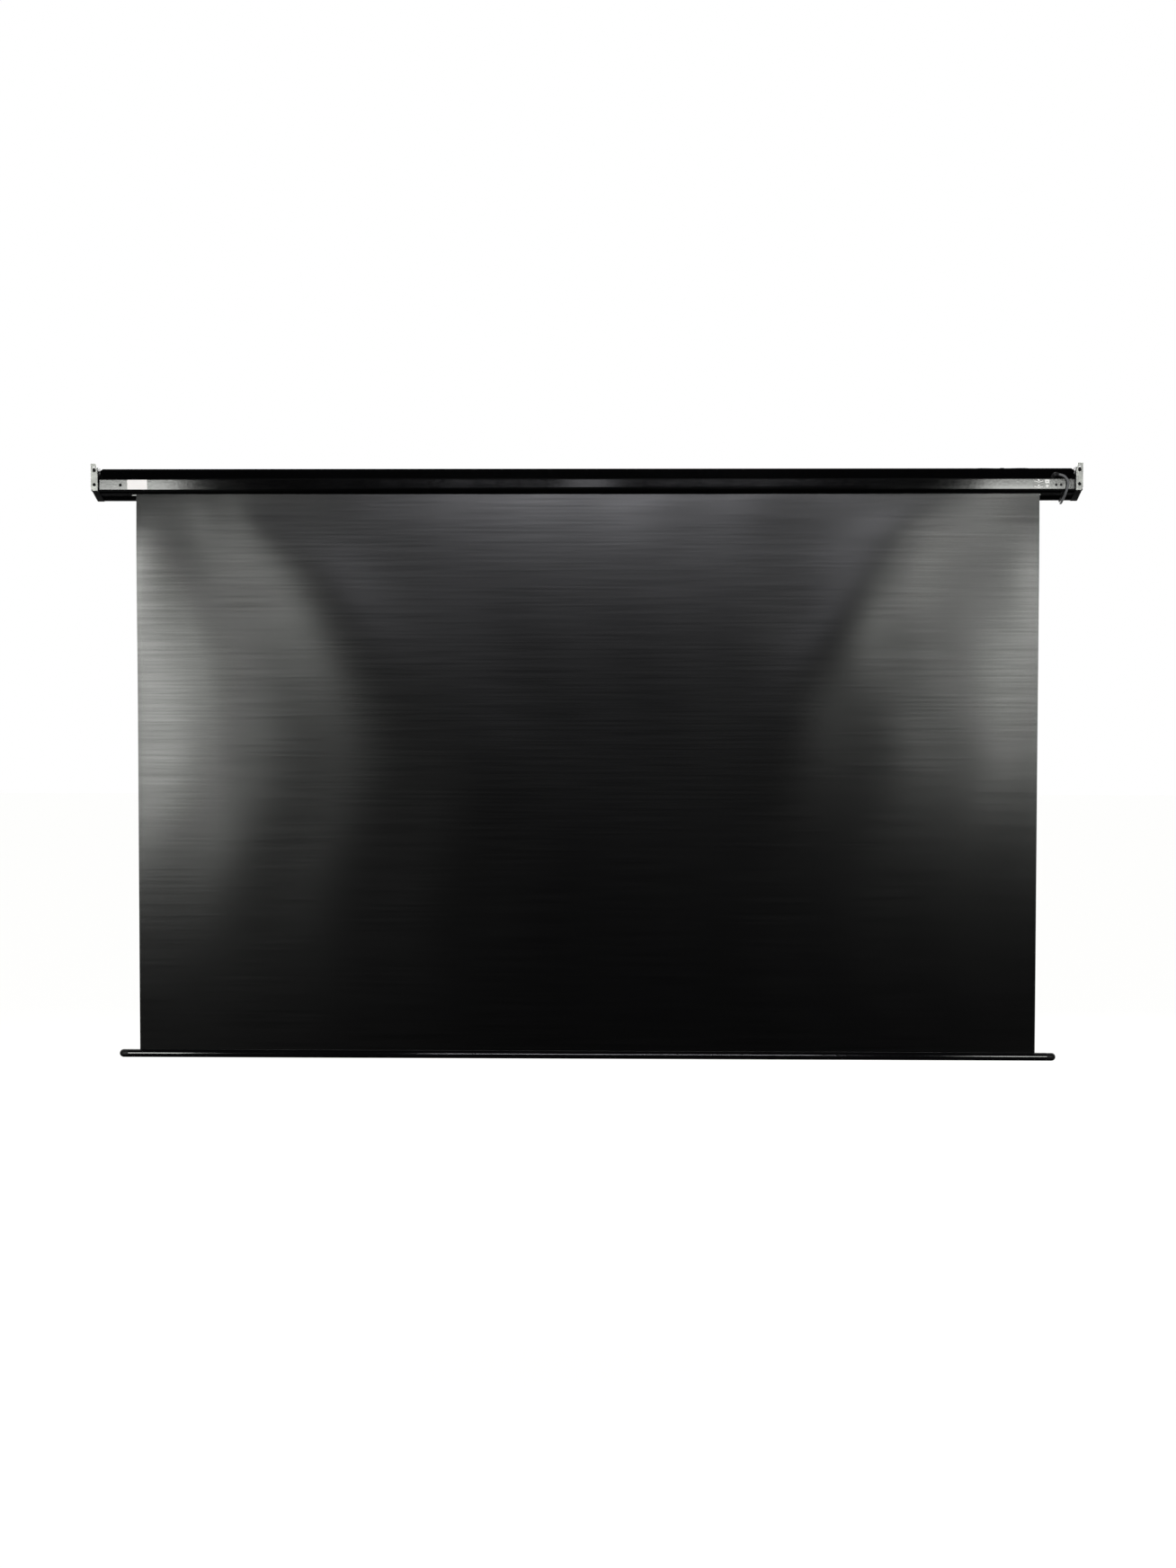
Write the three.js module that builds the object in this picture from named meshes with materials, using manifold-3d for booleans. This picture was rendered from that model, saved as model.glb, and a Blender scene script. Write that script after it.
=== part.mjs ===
import * as THREE from 'three';
import { mergeVertices } from 'three/addons/utils/BufferGeometryUtils.js';
import Module from 'manifold-3d';

// Motorized projection screen with its fabric let down, in millimetres, +Z up.
// +X runs along the casing to the motor, -Y to the wall and +Y to the audience.
// The origin lies in the wall plane, midway between the wall brackets, level with
// the middle of the casing's lower band.

// Clearances
const gap = 0.3; // between pieces that rest on each other
const runningGap = 0.3; // round what turns
const overrun = 2; // by which a cut passes the faces that it opens

// Fabric: the picture, its black borders and the cloth itself
const viewWidth = 2214;
const viewHeight = 1245;
const sideBorder = 28;
const bottomBorder = 28;
const topBorder = 153; // black fabric between the roller and the picture
const fabricThickness = 0.45;
const fabricCentreX = 3; // the picture sits this much nearer the motor
const edgeCurlWidth = 11;
const edgeCurlDepth = 1.6;
const waveDepth = 2.4; // the soft waves that fan out from the two top corners
const waveReach = 900;
const waveCount = 6; // of waves in a half turn round each corner
const waveStart = 150; // no wave above this depth, where the slot keeps the cloth flat

// Casing section, measured from the wall (Y) and from the band's middle (Z)
const casePastFabric = 87; // of the casing at each end
const caseWall = 1.5;
const bandBack = 11;
const bandHeight = 30;
const bandRound = 2;
const bandLipHeight = 4;
const bandLipInset = 2;
const stepDepth = 12;
const upperLean = 3.6; // of the upper face from the wall, over its height
const upperHeight = 26.5;
const flangeRise = 12;
const flangeThickness = 2;
const flangeCornerLength = 7;
const flangeCornerHeight = 4.7;
const caseDepth = 78.5;
const topFall = 5.7; // of the top from back to front
const bottomFall = 28; // of the bottom from back to front
const frontTopRound = 12;
const frontBottomRound = 18;
const smallRound = 0.8;
const seamFromFront = 20;
const seamOverlap = 7;
const slotWidth = 10;
const slotLip = 4;
const portOuter = 3.6; // screw ports along the inside corners
const portBore = 1.7;
const portBite = 0.6; // of the port's ring in the wall
const adjusterHole = 3.2;

// Roller
const rollerFromFront = 32;
const rollerDrop = 1.5; // below the band's middle
const tubeRadius = 20;
const tubeWall = 1.2;
const tubeIdlerInset = 32; // of the tube's ends from the casing's
const tubeMotorInset = 57;
const tapeThickness = 0.3;
const tapeWidth = 20;
const rollTurns = 2.25;
const turnSpace = 0.45; // between the turns

// Motor end
const motorRadius = 17.5;
const motorLength = 528;
const headRadius = 19;
const headLength = 40.9;
const crownFlange = 2.4;
const crownLength = 12;
const wheelLength = 20;
const shaftRadius = 5;
const shaftLength = 40;
const stubSize = 10;
const stubLength = 5;
const stubRadiusShare = 0.8;
const limitBlockLength = 29;
const limitBlockTop = 5;
const limitBlockBottom = -7.5;
const limitBlockFace = 4.5; // behind the band's inner face
const limitScrewRadius = 2.4;
const limitScrewReach = 16; // inside the limit block
const limitScrewLevel = -1;
const limitScrewInsets = [46.7, 34.7]; // from the casing's end
const limitSocketRadius = 1.3;
const limitSocketDepth = 2.5;
const headChamfer = 1.5;

// Idler end
const plugLength = 28;
const plugFlange = 2;
const pinRadius = 4;
const pinInPlug = 22;
const pinPastBracket = 4;
const bearingRadius = 7;
const bearingFlangeRadius = 9;
const bearingFlange = 2;
const footHeight = 14;
const footThickness = 2.5;
const footLength = 56;
const idlerScrewInset = 54.5;

// End caps, end plates and their screws
const plateThickness = 2.5;
const plateInset = 10; // from the casing's end to the plate
const capLength = 16.7;
const capProud = 1.2;
const capBackRound = 3;
const capWall = 2.5;
const capEdge = 1.5; // bevel round the outer face
const spigotWall = 2;
const capScrewRadius = 1.5;
const capScrewHead = 3.4;
const capScrewHeadLength = 2.2;
const capScrewGrip = 13; // of the screw in its port
const bossRadius = 4.4;

// Wall brackets
const bracketThickness = 2.5;
const bracketWidth = 17;
const bracketHeight = 67.5;
const bracketTopWidthShare = 0.78;
const bracketShoulder = 19; // from the top to where the plate is at full width
const bracketCornerX = 5;
const bracketCornerZ = 7;
const bracketTongueReach = 9;
const bracketTongueHeight = 12;
const bracketTongueLevels = [-1, 22];
const keyholeRadius = 4.5;
const keyholeSlot = 2.3;
const keyholeFromTop = 17;
const keyholeSlotReach = 9.5;
const keyholeRoom = 1; // round the keyhole, in the cap behind it
const keyholeDepth = 9; // of that room from the wall
const bracketScrewRadius = 2;
const bracketScrewHead = 4;
const bracketScrewLength = 13;
const bracketHeadSink = 0.3;

// Bar at the bottom of the fabric
const barPastFabric = 52; // of the bar at each end
const barRadius = 10;
const barWall = 1.4;
const barSlot = 3;
const barCapLength = 23;
const barCapPlug = 13;
const barCapDomeShare = 0.45;
const hemRodRadius = 3;
const barStopGap = 1.5; // below the casing when the fabric is up

// Mains lead
const cordRadius = 3;
const cordStandOff = 4.5; // of the cord's middle from the casing and from the wall
const cordBend = 24.3;
const cordTopBend = 40;
const cordInset = 24; // from the casing's end, where it goes under the casing and up the front
const cordBulge = 11; // towards the end cap, beside the relief
const cordSag = 7.4; // of its middle below the band's lower edge
const tailBend = 40;
const tailAside = 40; // of its sideways stretch, along the casing
const tailStraight = 27; // before the plug
const glandInset = 51; // from the casing's end
const glandLevel = 22.3;
const glandRadius = 5;
const glandFlangeRadius = 6;
const glandFlange = 1.6;
const glandShank = 4;
const glandTail = 3;
const elbowRise = 2.7;
const elbowFromWall = 9.5;
const reliefLength = 5;
const reliefFall = 2; // of the cord's turn below the gland
const reliefTip = 3.4;
const motorLeadBend = 10;
const motorLeadReach = 15; // of its bend from the upper face
const hankInset = 178; // of its middle from the casing's end
const hankCentreY = 56;
const hankRun = 104;
const hankFoldRadius = 18;
const hankPitch = 6.6;
const hankWaist = 5;
const hankLoops = 3;
const hankLayer = 6.6;
const tieWidth = 10;
const tieThickness = 0.8;
const tieSlack = 0.6;
const plugInset = 362;
const plugSetBack = 3; // of the plug from the hank's middle, to the audience
const plugBodyLength = 38;
const plugBodyWidth = 23;
const plugBodyHeight = 13;
const plugNose = 8;
const plugTail = 9;
const plugTailRadius = 4.6;
const bladeSpacing = 12.7;
const bladeWidth = 6.4;
const bladeThickness = 1.6;
const bladeLength = 17;
const motorLeadRadius = 2.5;

// Places that follow from the sizes above
const fabricWidth = viewWidth + 2 * sideBorder;
const caseLength = fabricWidth + 2 * casePastFabric;
const barLength = fabricWidth + 2 * barPastFabric;
const bandLow = -bandHeight / 2;
const bandHigh = bandHeight / 2;
const upperBack = bandBack + stepDepth;
const flangeTop = bandHigh + upperHeight;
const caseTop = flangeTop - flangeRise;
const caseFront = bandBack + caseDepth;
const frontTop = caseTop - topFall;
const frontLow = bandLow - bottomFall;
const caseEnd = caseLength / 2;
const lean = upperLean / upperHeight; // of the upper face, per unit of height
const topBack = upperBack + lean * (caseTop - bandHigh);
const tubeLeftEnd = tubeIdlerInset - caseEnd;
const tubeRightEnd = caseEnd - tubeMotorInset;
const limitScrewPlaces = limitScrewInsets.map((inset) => caseEnd - inset);
const idlerScrewX = idlerScrewInset - caseEnd;
const cordEndX = caseEnd - cordInset;
const glandX = caseEnd - glandInset;
const hankCentreX = caseEnd - hankInset;
const plugCentreX = caseEnd - plugInset;
const topSlope = topFall / (caseFront - topBack);
const bottomSlope = bottomFall / (caseFront - bandBack - bandLipInset);
const bottomAngle = Math.atan(bottomSlope);

// Height of the casing's bottom, outside, at a distance from the wall
const bottomAt = (y) => bandLow - bottomSlope * (y - bandBack - bandLipInset);

// Height of the casing's top, outside, at a distance from the wall
const topAt = (y) => caseTop - topSlope * (y - topBack);

const rollerY = caseFront - rollerFromFront;
const rollerZ = -rollerDrop;
const tubeInner = tubeRadius - tubeWall;
const rollInner = tubeRadius + 2 * gap + tapeThickness;
const rollPitch = fabricThickness + turnSpace;
const rollEnd = rollInner + fabricThickness + rollTurns * rollPitch;
const sheetBack = rollerY - rollEnd;
const sheetY = sheetBack + fabricThickness / 2;
const sheetTop = rollerZ - gap;
const sheetBottom = sheetTop - topBorder - viewHeight - bottomBorder;
const barInner = barRadius - barWall;
const hemInner = hemRodRadius + gap;
const hemOuter = hemInner + fabricThickness;
const hemDrop = Math.sqrt(barInner ** 2 - (barSlot / 2) ** 2)
  - Math.sqrt((hemOuter + gap) ** 2 - (barSlot / 2) ** 2);
const barZ = sheetBottom - gap - barRadius;
const slotBackY = sheetY - slotWidth / 2;
const slotFrontY = sheetY + slotWidth / 2;
const plateX = caseEnd - plateInset - plateThickness;
const portLength = 2 * (plateX - gap);
const spigotStart = caseEnd - plateInset + gap;
const capInnerFace = caseEnd + gap;
const capOuterFace = capInnerFace + capLength;
const capBack = bracketThickness + gap;
const motorHeadX = plateX - gap - headLength;
const bracketInnerX = capOuterFace + gap - bracketWidth;
const bracketTop = bandLow + bracketHeight;
const keyholeLevel = bracketTop - keyholeFromTop;
const barTop = bottomAt(sheetY) - (barRadius + barStopGap) / Math.cos(bottomAngle);

// Materials
const finish = (color, roughness, metalness) => new THREE.MeshStandardMaterial({ color, roughness, metalness });
const blackPaint = () => finish(0x17181a, 0.45, 0.2);
const blackPlastic = () => finish(0x141416, 0.55, 0);
const zincSteel = () => finish(0xb4b8ba, 0.35, 0.9);
const greySteel = () => finish(0x8c9094, 0.4, 0.8);
const motorWhite = () => finish(0xd8d8d4, 0.5, 0);
const blackVinyl = () => finish(0x101114, 0.6, 0);
const cordBlack = () => finish(0x0d0d0f, 0.6, 0);
const brassBlade = () => finish(0xc9b06a, 0.3, 1);

const wasm = await Module();
wasm.setup();

// A closed solid for joining and cutting
function solid(geometry) {
  const bare = geometry.clone();
  bare.deleteAttribute('normal');
  bare.deleteAttribute('uv');
  const merged = mergeVertices(bare);
  return new wasm.Manifold(new wasm.Mesh({
    numProp: 3,
    vertProperties: new Float32Array(merged.attributes.position.array),
    triVerts: new Uint32Array(merged.index.array),
  }));
}

function geometryOf(body) {
  const mesh = body.getMesh();
  const geometry = new THREE.BufferGeometry();
  geometry.setAttribute('position', new THREE.BufferAttribute(new Float32Array(mesh.vertProperties), 3));
  geometry.setIndex(new THREE.BufferAttribute(new Uint32Array(mesh.triVerts), 1));
  return geometry;
}

const joined = (...pieces) => geometryOf(pieces.map(solid).reduce((sum, piece) => sum.add(piece)));

function cut(geometry, tools) {
  return geometryOf(tools.map(solid).reduce((rest, tool) => rest.subtract(tool), solid(geometry)));
}

// Turns the faces of a closed geometry outwards
function outward(geometry) {
  const merged = mergeVertices(geometry.index ? geometry : geometry.clone());
  const p = merged.attributes.position;
  const index = merged.index.array;
  const [a, b, c] = [new THREE.Vector3(), new THREE.Vector3(), new THREE.Vector3()];
  let volume = 0;
  for (let i = 0; i < index.length; i += 3) {
    a.fromBufferAttribute(p, index[i]);
    b.fromBufferAttribute(p, index[i + 1]);
    c.fromBufferAttribute(p, index[i + 2]);
    volume += a.dot(b.cross(c));
  }
  if (volume < 0) {
    for (let i = 0; i < index.length; i += 3) [index[i], index[i + 1]] = [index[i + 1], index[i]];
  }
  return merged;
}

const axisX = new THREE.Vector3(1, 0, 0);
const axisY = new THREE.Vector3(0, 1, 0);
const axisZ = new THREE.Vector3(0, 0, 1);

const shapeOf = (points) => new THREE.Shape(points.map(([u, v]) => new THREE.Vector2(u, v)));

// A section in (Y, Z) drawn out along X
function alongX(section, from, to) {
  const shape = Array.isArray(section) ? shapeOf(section) : section;
  const geometry = new THREE.ExtrudeGeometry(shape, { depth: to - from, bevelEnabled: false });
  geometry.applyMatrix4(new THREE.Matrix4().makeBasis(axisY, axisZ, axisX));
  return geometry.translate(from, 0, 0);
}

// An outline in (X, Z) drawn out along Y
function alongY(outline, from, to) {
  const shape = Array.isArray(outline) ? shapeOf(outline) : outline;
  const geometry = new THREE.ExtrudeGeometry(shape, { depth: to - from, bevelEnabled: false });
  geometry.applyMatrix4(new THREE.Matrix4().makeBasis(axisX, axisZ, axisY.clone().negate()));
  return geometry.translate(0, to, 0);
}

// A profile of [distance along the axis, radius] turned about a line along X
function turnedX(profile, y, z, sides = 32) {
  const points = profile.map(([along, radius]) => new THREE.Vector2(radius, along));
  const geometry = new THREE.LatheGeometry([...points, points[0]], sides);
  geometry.applyMatrix4(new THREE.Matrix4().makeBasis(axisY, axisX, axisZ.clone().negate()));
  return outward(closedOf(geometry)).translate(0, y, z);
}

// The same about a line along Y
function turnedY(profile, x, z, sides = 24) {
  const points = profile.map(([along, radius]) => new THREE.Vector2(radius, along));
  const geometry = new THREE.LatheGeometry([...points, points[0]], sides);
  return outward(closedOf(geometry)).translate(x, 0, z);
}

// Leaves out the faces without area that a profile has on its axis
function closedOf(geometry) {
  const bare = geometry.clone();
  bare.deleteAttribute('normal');
  bare.deleteAttribute('uv');
  const merged = mergeVertices(bare);
  const kept = [];
  const index = merged.index.array;
  for (let i = 0; i < index.length; i += 3) {
    const [a, b, c] = [index[i], index[i + 1], index[i + 2]];
    if (a !== b && b !== c && c !== a) kept.push(a, b, c);
  }
  merged.setIndex(kept);
  return merged;
}

const rodX = (from, to, radius, y, z, sides = 24) => turnedX(
  [[from, 0], [from, radius], [to, radius], [to, 0]], y, z, sides);
const rodY = (from, to, radius, x, z, sides = 24) => turnedY(
  [[from, 0], [from, radius], [to, radius], [to, 0]], x, z, sides);

function circle(y, z, radius, sides = 24) {
  const turn = 2 * Math.PI / sides;
  return Array.from({ length: sides }, (_, i) => [y + radius * Math.cos(turn * i), z + radius * Math.sin(turn * i)]);
}

// An outline from corners [u, v, radius], with each corner rounded
function rounded(corners, steps = 4) {
  const points = [];
  corners.forEach(([u, v, radius], i) => {
    const at = new THREE.Vector2(u, v);
    const before = new THREE.Vector2(...corners.at(i - 1).slice(0, 2)).sub(at);
    const after = new THREE.Vector2(...corners[(i + 1) % corners.length].slice(0, 2)).sub(at);
    if (!radius) {
      points.push([u, v]);
      return;
    }
    const half = Math.acos(before.clone().normalize().dot(after.clone().normalize())) / 2;
    const reach = Math.min(radius / Math.tan(half), before.length() / 2, after.length() / 2);
    const fillet = reach * Math.tan(half);
    const start = at.clone().add(before.setLength(reach));
    const middle = before.clone().normalize().add(after.clone().normalize());
    const centre = at.clone().add(middle.setLength(fillet / Math.sin(half)));
    const end = at.clone().add(after.setLength(reach));
    const first = start.clone().sub(centre).angle();
    let sweep = end.clone().sub(centre).angle() - first;
    if (sweep > Math.PI) sweep -= 2 * Math.PI;
    if (sweep < -Math.PI) sweep += 2 * Math.PI;
    for (let k = 0; k <= steps; k += 1) {
      const turn = first + sweep * k / steps;
      points.push([centre.x + fillet * Math.cos(turn), centre.y + fillet * Math.sin(turn)]);
    }
  });
  return points;
}

// Corners moved to the left of their line by a distance, with their radii following
function inset(corners, distance, open = false) {
  return corners.map(([u, v, radius], i) => {
    const [pu, pv] = corners[open ? Math.max(i - 1, 0) : (i + corners.length - 1) % corners.length];
    const [nu, nv] = corners[open ? Math.min(i + 1, corners.length - 1) : (i + 1) % corners.length];
    const before = new THREE.Vector2(u - pu, v - pv).normalize();
    const after = new THREE.Vector2(nu - u, nv - v).normalize();
    const first = before.lengthSq() ? before : after;
    const second = after.lengthSq() ? after : before;
    const scale = distance / (1 + first.dot(second));
    const bend = Math.sign(first.cross(second));
    return [
      u - (first.y + second.y) * scale,
      v + (first.x + second.x) * scale,
      radius ? Math.max(radius - bend * distance, 0) : 0,
    ];
  });
}

// A wall of even thickness to the left of an open line of corners
const walled = (corners, wall) => [...rounded(corners), ...rounded(inset(corners, wall, true)).reverse()];

// A line through corners [x, y, z, radius], with each corner bent to its radius
function bentLine(corners, steps = 6) {
  const places = corners.map((corner) => new THREE.Vector3(...corner));
  return places.flatMap((at, i) => {
    const radius = corners[i][3];
    if (!radius) return [at];
    const before = places[i - 1].clone().sub(at).normalize();
    const after = places[i + 1].clone().sub(at).normalize();
    const half = before.angleTo(after) / 2;
    const centre = at.clone().addScaledVector(before.clone().add(after).normalize(), radius / Math.sin(half));
    const start = at.clone().addScaledVector(before, radius / Math.tan(half)).sub(centre);
    const turnAxis = after.clone().cross(before).normalize();
    return Array.from({ length: steps + 1 }, (_, k) => start.clone()
      .applyAxisAngle(turnAxis, (Math.PI - 2 * half) * k / steps).add(centre));
  });
}

// A tube round a line of points, with flat ends
function tubeAlong(points, radius, sides, steps) {
  const curve = new THREE.CatmullRomCurve3(points, false, 'centripetal');
  const section = shapeOf(circle(0, 0, radius, sides));
  return new THREE.ExtrudeGeometry(section, { steps, bevelEnabled: false, extrudePath: curve });
}

const group = new THREE.Group();
function add(name, geometry, material, parent = group) {
  const mesh = new THREE.Mesh(geometry, material);
  mesh.name = name;
  parent.add(mesh);
  return mesh;
}

// Casing
// Seen along the casing, the outline runs from the wall side down and round the front.
const caseCorners = [
  [bandBack, bandLow + bandLipHeight, smallRound],
  [bandBack + bandLipInset, bandLow, smallRound],
  [caseFront, frontLow, frontBottomRound],
  [caseFront, frontTop, frontTopRound],
  [topBack, caseTop, 0],
  [upperBack, bandHigh, smallRound],
  [bandBack, bandHigh, bandRound],
];

// Middle of the screw port that fills a corner of the casing from inside
function portIn(corner) {
  const [u, v, radius] = caseCorners[corner];
  const at = new THREE.Vector2(u, v);
  const [before, after] = [corner - 1, corner + 1].map((i) => {
    const [p, q] = caseCorners[i % caseCorners.length];
    return new THREE.Vector2(p, q).sub(at).normalize();
  });
  const half = Math.acos(before.dot(after)) / 2;
  const reach = caseWall + portOuter - portBite;
  const fromCorner = radius > reach ? radius / Math.sin(half) - radius + reach : reach / Math.sin(half);
  return at.add(before.add(after).setLength(fromCorner)).toArray();
}

const portPlaces = { bottom: portIn(2), top: portIn(3), back: portIn(6) };

// A screw port: a thick ring of the casing's wall material with its bore
function screwPort([y, z]) {
  const ring = shapeOf(circle(y, z, portOuter, 16));
  ring.holes.push(new THREE.Path(circle(y, z, portBore, 12).map(([u, v]) => new THREE.Vector2(u, v))));
  return alongX(ring, -portLength / 2, portLength / 2);
}

function housingBack() {
  const seamY = caseFront - seamFromFront;
  const tongue = caseWall + gap;
  const shell = walled([
    [seamY + seamOverlap, topAt(seamY + seamOverlap) - tongue, 0],
    [seamY - gap, topAt(seamY) - tongue, 0],
    [seamY - gap - tongue, topAt(seamY - tongue), 0],
    [topBack, caseTop, 0],
    [upperBack, bandHigh, smallRound],
    [bandBack, bandHigh, bandRound],
    [bandBack, bandLow + bandLipHeight, smallRound],
    [bandBack + bandLipInset, bandLow, smallRound],
    [slotBackY, bottomAt(slotBackY), smallRound],
    [slotBackY, bottomAt(slotBackY) + slotLip, 0],
  ], caseWall);
  const flangeFoot = caseTop - caseWall;
  const end = caseEnd - flangeCornerLength;
  const flange = alongY([
    [-caseEnd, flangeFoot],
    [caseEnd, flangeFoot],
    [caseEnd, flangeTop - flangeCornerHeight],
    [end, flangeTop],
    [-end, flangeTop],
    [-caseEnd, flangeTop - flangeCornerHeight],
  ], upperBack, upperBack + flangeThickness);
  flange.applyMatrix4(new THREE.Matrix4().set(
    1, 0, 0, 0,
    0, 1, lean, -lean * bandHigh,
    0, 0, 1, 0,
    0, 0, 0, 1,
  ));
  const through = [bandBack - overrun, bandBack + caseWall + overrun];
  const holes = limitScrewPlaces.map((x) => rodY(...through, adjusterHole, x, limitScrewLevel));
  holes.push(rodY(...through, bracketScrewRadius + gap, idlerScrewX, 0));
  const glandHole = rodY(-overrun, flangeThickness + overrun, glandShank + gap, 0, 0);
  glandHole.rotateX(-Math.atan(lean)).translate(glandX, upperBack + lean * (glandLevel - bandHigh), glandLevel);
  holes.push(glandHole);
  return cut(joined(alongX(shell, -caseEnd, caseEnd), flange, screwPort(portPlaces.back)), holes);
}

function frontCover() {
  const seamY = caseFront - seamFromFront;
  const shell = walled([
    [slotFrontY, bottomAt(slotFrontY) + slotLip, 0],
    [slotFrontY, bottomAt(slotFrontY), smallRound],
    [caseFront, frontLow, frontBottomRound],
    [caseFront, frontTop, frontTopRound],
    [seamY, topAt(seamY), 0],
  ], caseWall);
  return joined(alongX(shell, -caseEnd, caseEnd), screwPort(portPlaces.top), screwPort(portPlaces.bottom));
}

add('housing_back', housingBack(), blackPaint());
add('front_cover', frontCover(), blackPaint());

// Room for the slot's lips and for the seam's tongue in what fits inside the casing
function sectionNotches(from, to) {
  const seamY = caseFront - seamFromFront;
  const lipTop = bottomAt(slotBackY) + slotLip + gap;
  const tongueLow = topAt(seamY + seamOverlap) - 2 * (caseWall + gap) - gap;
  const box = (y0, z0, y1, z1) => alongX([[y0, z0], [y1, z0], [y1, z1], [y0, z1]], from, to);
  return [
    box(slotBackY - caseWall - gap, frontLow, slotFrontY + caseWall + gap, lipTop),
    box(seamY - 2 * (caseWall + gap) - gap, tongueLow, seamY + seamOverlap + gap, caseTop + overrun),
  ];
}

// Plate inside each end of the casing, between the screw ports and the end cap
function endPlate(side, centreHole, extras) {
  const [from, to] = [side * plateX, side * (plateX + plateThickness)].sort((a, b) => a - b);
  const through = [from - overrun, to + overrun];
  const plate = alongX(rounded(inset(caseCorners, caseWall + gap)), from, to);
  const holes = Object.values(portPlaces).map(([y, z]) => rodX(...through, capScrewRadius + gap, y, z, 12));
  return cut(joined(plate, ...extras), [centreHole(...through), ...holes, ...sectionNotches(...through)]);
}

// Each end cap: a moulded shell with its spigot and three screw bosses
const capCorners = [
  [capBack, bandLow - capProud, capBackRound],
  [bandBack + bandLipInset, bandLow - capProud, smallRound],
  [caseFront + capProud, frontLow - capProud, frontBottomRound + capProud],
  [caseFront + capProud, frontTop + capProud, frontTopRound + capProud],
  [upperBack + upperLean + flangeThickness, flangeTop + capProud, capBackRound],
  [capBack, flangeTop + capProud, capBackRound],
];

function endCap(side) {
  const body = new THREE.ExtrudeGeometry(shapeOf(rounded(inset(capCorners, capEdge), 8)), {
    depth: capLength - capEdge,
    bevelEnabled: true,
    bevelSize: capEdge,
    bevelThickness: capEdge,
    bevelSegments: 2,
    curveSegments: 1,
  });
  body.applyMatrix4(new THREE.Matrix4().makeBasis(axisY, axisZ, axisX));
  body.translate(capInnerFace, 0, 0);
  const trim = alongX(rounded(inset(capCorners, -overrun)), capInnerFace - 2 * capEdge, capInnerFace);
  const spigotCorners = inset(caseCorners, caseWall + gap);
  const spigot = alongX(rounded(spigotCorners), spigotStart, capInnerFace + capWall);
  const hollow = alongX(rounded(inset(spigotCorners, spigotWall)), spigotStart - overrun, capOuterFace - capWall);
  const bosses = Object.values(portPlaces).map(([y, z]) => rodX(
    spigotStart, capOuterFace - capWall / 2, bossRadius, y, z, 16));
  const bores = Object.values(portPlaces).flatMap(([y, z]) => [
    rodX(spigotStart - overrun, capOuterFace, capScrewRadius + gap, y, z, 12),
    rodX(capOuterFace - capScrewHeadLength - gap, capOuterFace + overrun, capScrewHead + gap, y, z, 16),
  ]);
  const slits = bracketTongues(bracketInnerX - overrun, bracketInnerX + bracketThickness + gap, gap);
  const middle = bracketInnerX + bracketWidth / 2;
  const screwHole = rodY(capBack - overrun, bracketScrewLength + 2 * gap, bracketScrewRadius + gap, middle, 0, 12);
  const half = keyholeRadius + keyholeRoom;
  const keyholePocket = alongY([
    [middle - half, keyholeLevel - half],
    [middle + half, keyholeLevel - half],
    [middle + half, keyholeLevel + keyholeSlotReach + keyholeRoom],
    [middle - half, keyholeLevel + keyholeSlotReach + keyholeRoom],
  ], capBack - overrun, keyholeDepth);
  const filled = solid(body).subtract(solid(trim)).add(solid(spigot));
  let shell = filled.subtract(solid(hollow));
  shell = bosses.reduce((sum, boss) => sum.add(solid(boss).intersect(filled)), shell);
  const tools = [...sectionNotches(spigotStart - overrun, capInnerFace), ...bores, ...slits, screwHole, keyholePocket];
  const geometry = geometryOf(tools.reduce((rest, tool) => rest.subtract(solid(tool)), shell));
  return side > 0 ? geometry : outward(geometry.scale(-1, 1, 1));
}

// The bracket's two tongues, or with room round them their slits in the end cap
function bracketTongues(from, to, room) {
  const half = bracketTongueHeight / 2 + room;
  return bracketTongueLevels.map((level) => alongX([
    [bracketThickness / 2, level - half],
    [bracketTongueReach + room, level - half],
    [bracketTongueReach + room, level + half],
    [bracketThickness / 2, level + half],
  ], from, to));
}

// Wall bracket: keyhole plate with two tongues bent into the end cap
function wallBracket(side) {
  const left = bracketInnerX;
  const right = bracketInnerX + bracketWidth;
  const middle = (left + right) / 2;
  const outline = shapeOf([
    [left, bandLow],
    [right - bracketCornerX, bandLow],
    [right, bandLow + bracketCornerZ],
    [right, bracketTop],
    [right - bracketWidth * bracketTopWidthShare, bracketTop],
    [left, bracketTop - bracketShoulder],
  ]);
  const slotTop = keyholeLevel + keyholeSlotReach;
  const half = Math.acos(keyholeSlot / keyholeRadius);
  const keyhole = [[middle + keyholeSlot, slotTop], [middle - keyholeSlot, slotTop]];
  const steps = 14;
  for (let i = 0; i <= steps; i += 1) {
    const turn = Math.PI - half + (Math.PI + 2 * half) * i / steps;
    keyhole.push([middle + keyholeRadius * Math.cos(turn), keyholeLevel + keyholeRadius * Math.sin(turn)]);
  }
  outline.holes.push(new THREE.Path(keyhole.map(([x, z]) => new THREE.Vector2(x, z))));
  const plate = alongY(outline, 0, bracketThickness);
  const tongues = bracketTongues(left, left + bracketThickness, 0);
  const sink = bracketScrewHead - bracketScrewRadius;
  const countersink = turnedY([
    [-overrun, 0],
    [-overrun, bracketScrewHead + gap],
    [bracketHeadSink, bracketScrewHead + gap],
    [bracketHeadSink + sink, bracketScrewRadius + gap],
    [bracketThickness + overrun, bracketScrewRadius + gap],
    [bracketThickness + overrun, 0],
  ], middle, 0, 16);
  const geometry = cut(joined(plate, ...tongues), [countersink]);
  return side > 0 ? geometry : outward(geometry.scale(-1, 1, 1));
}

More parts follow.
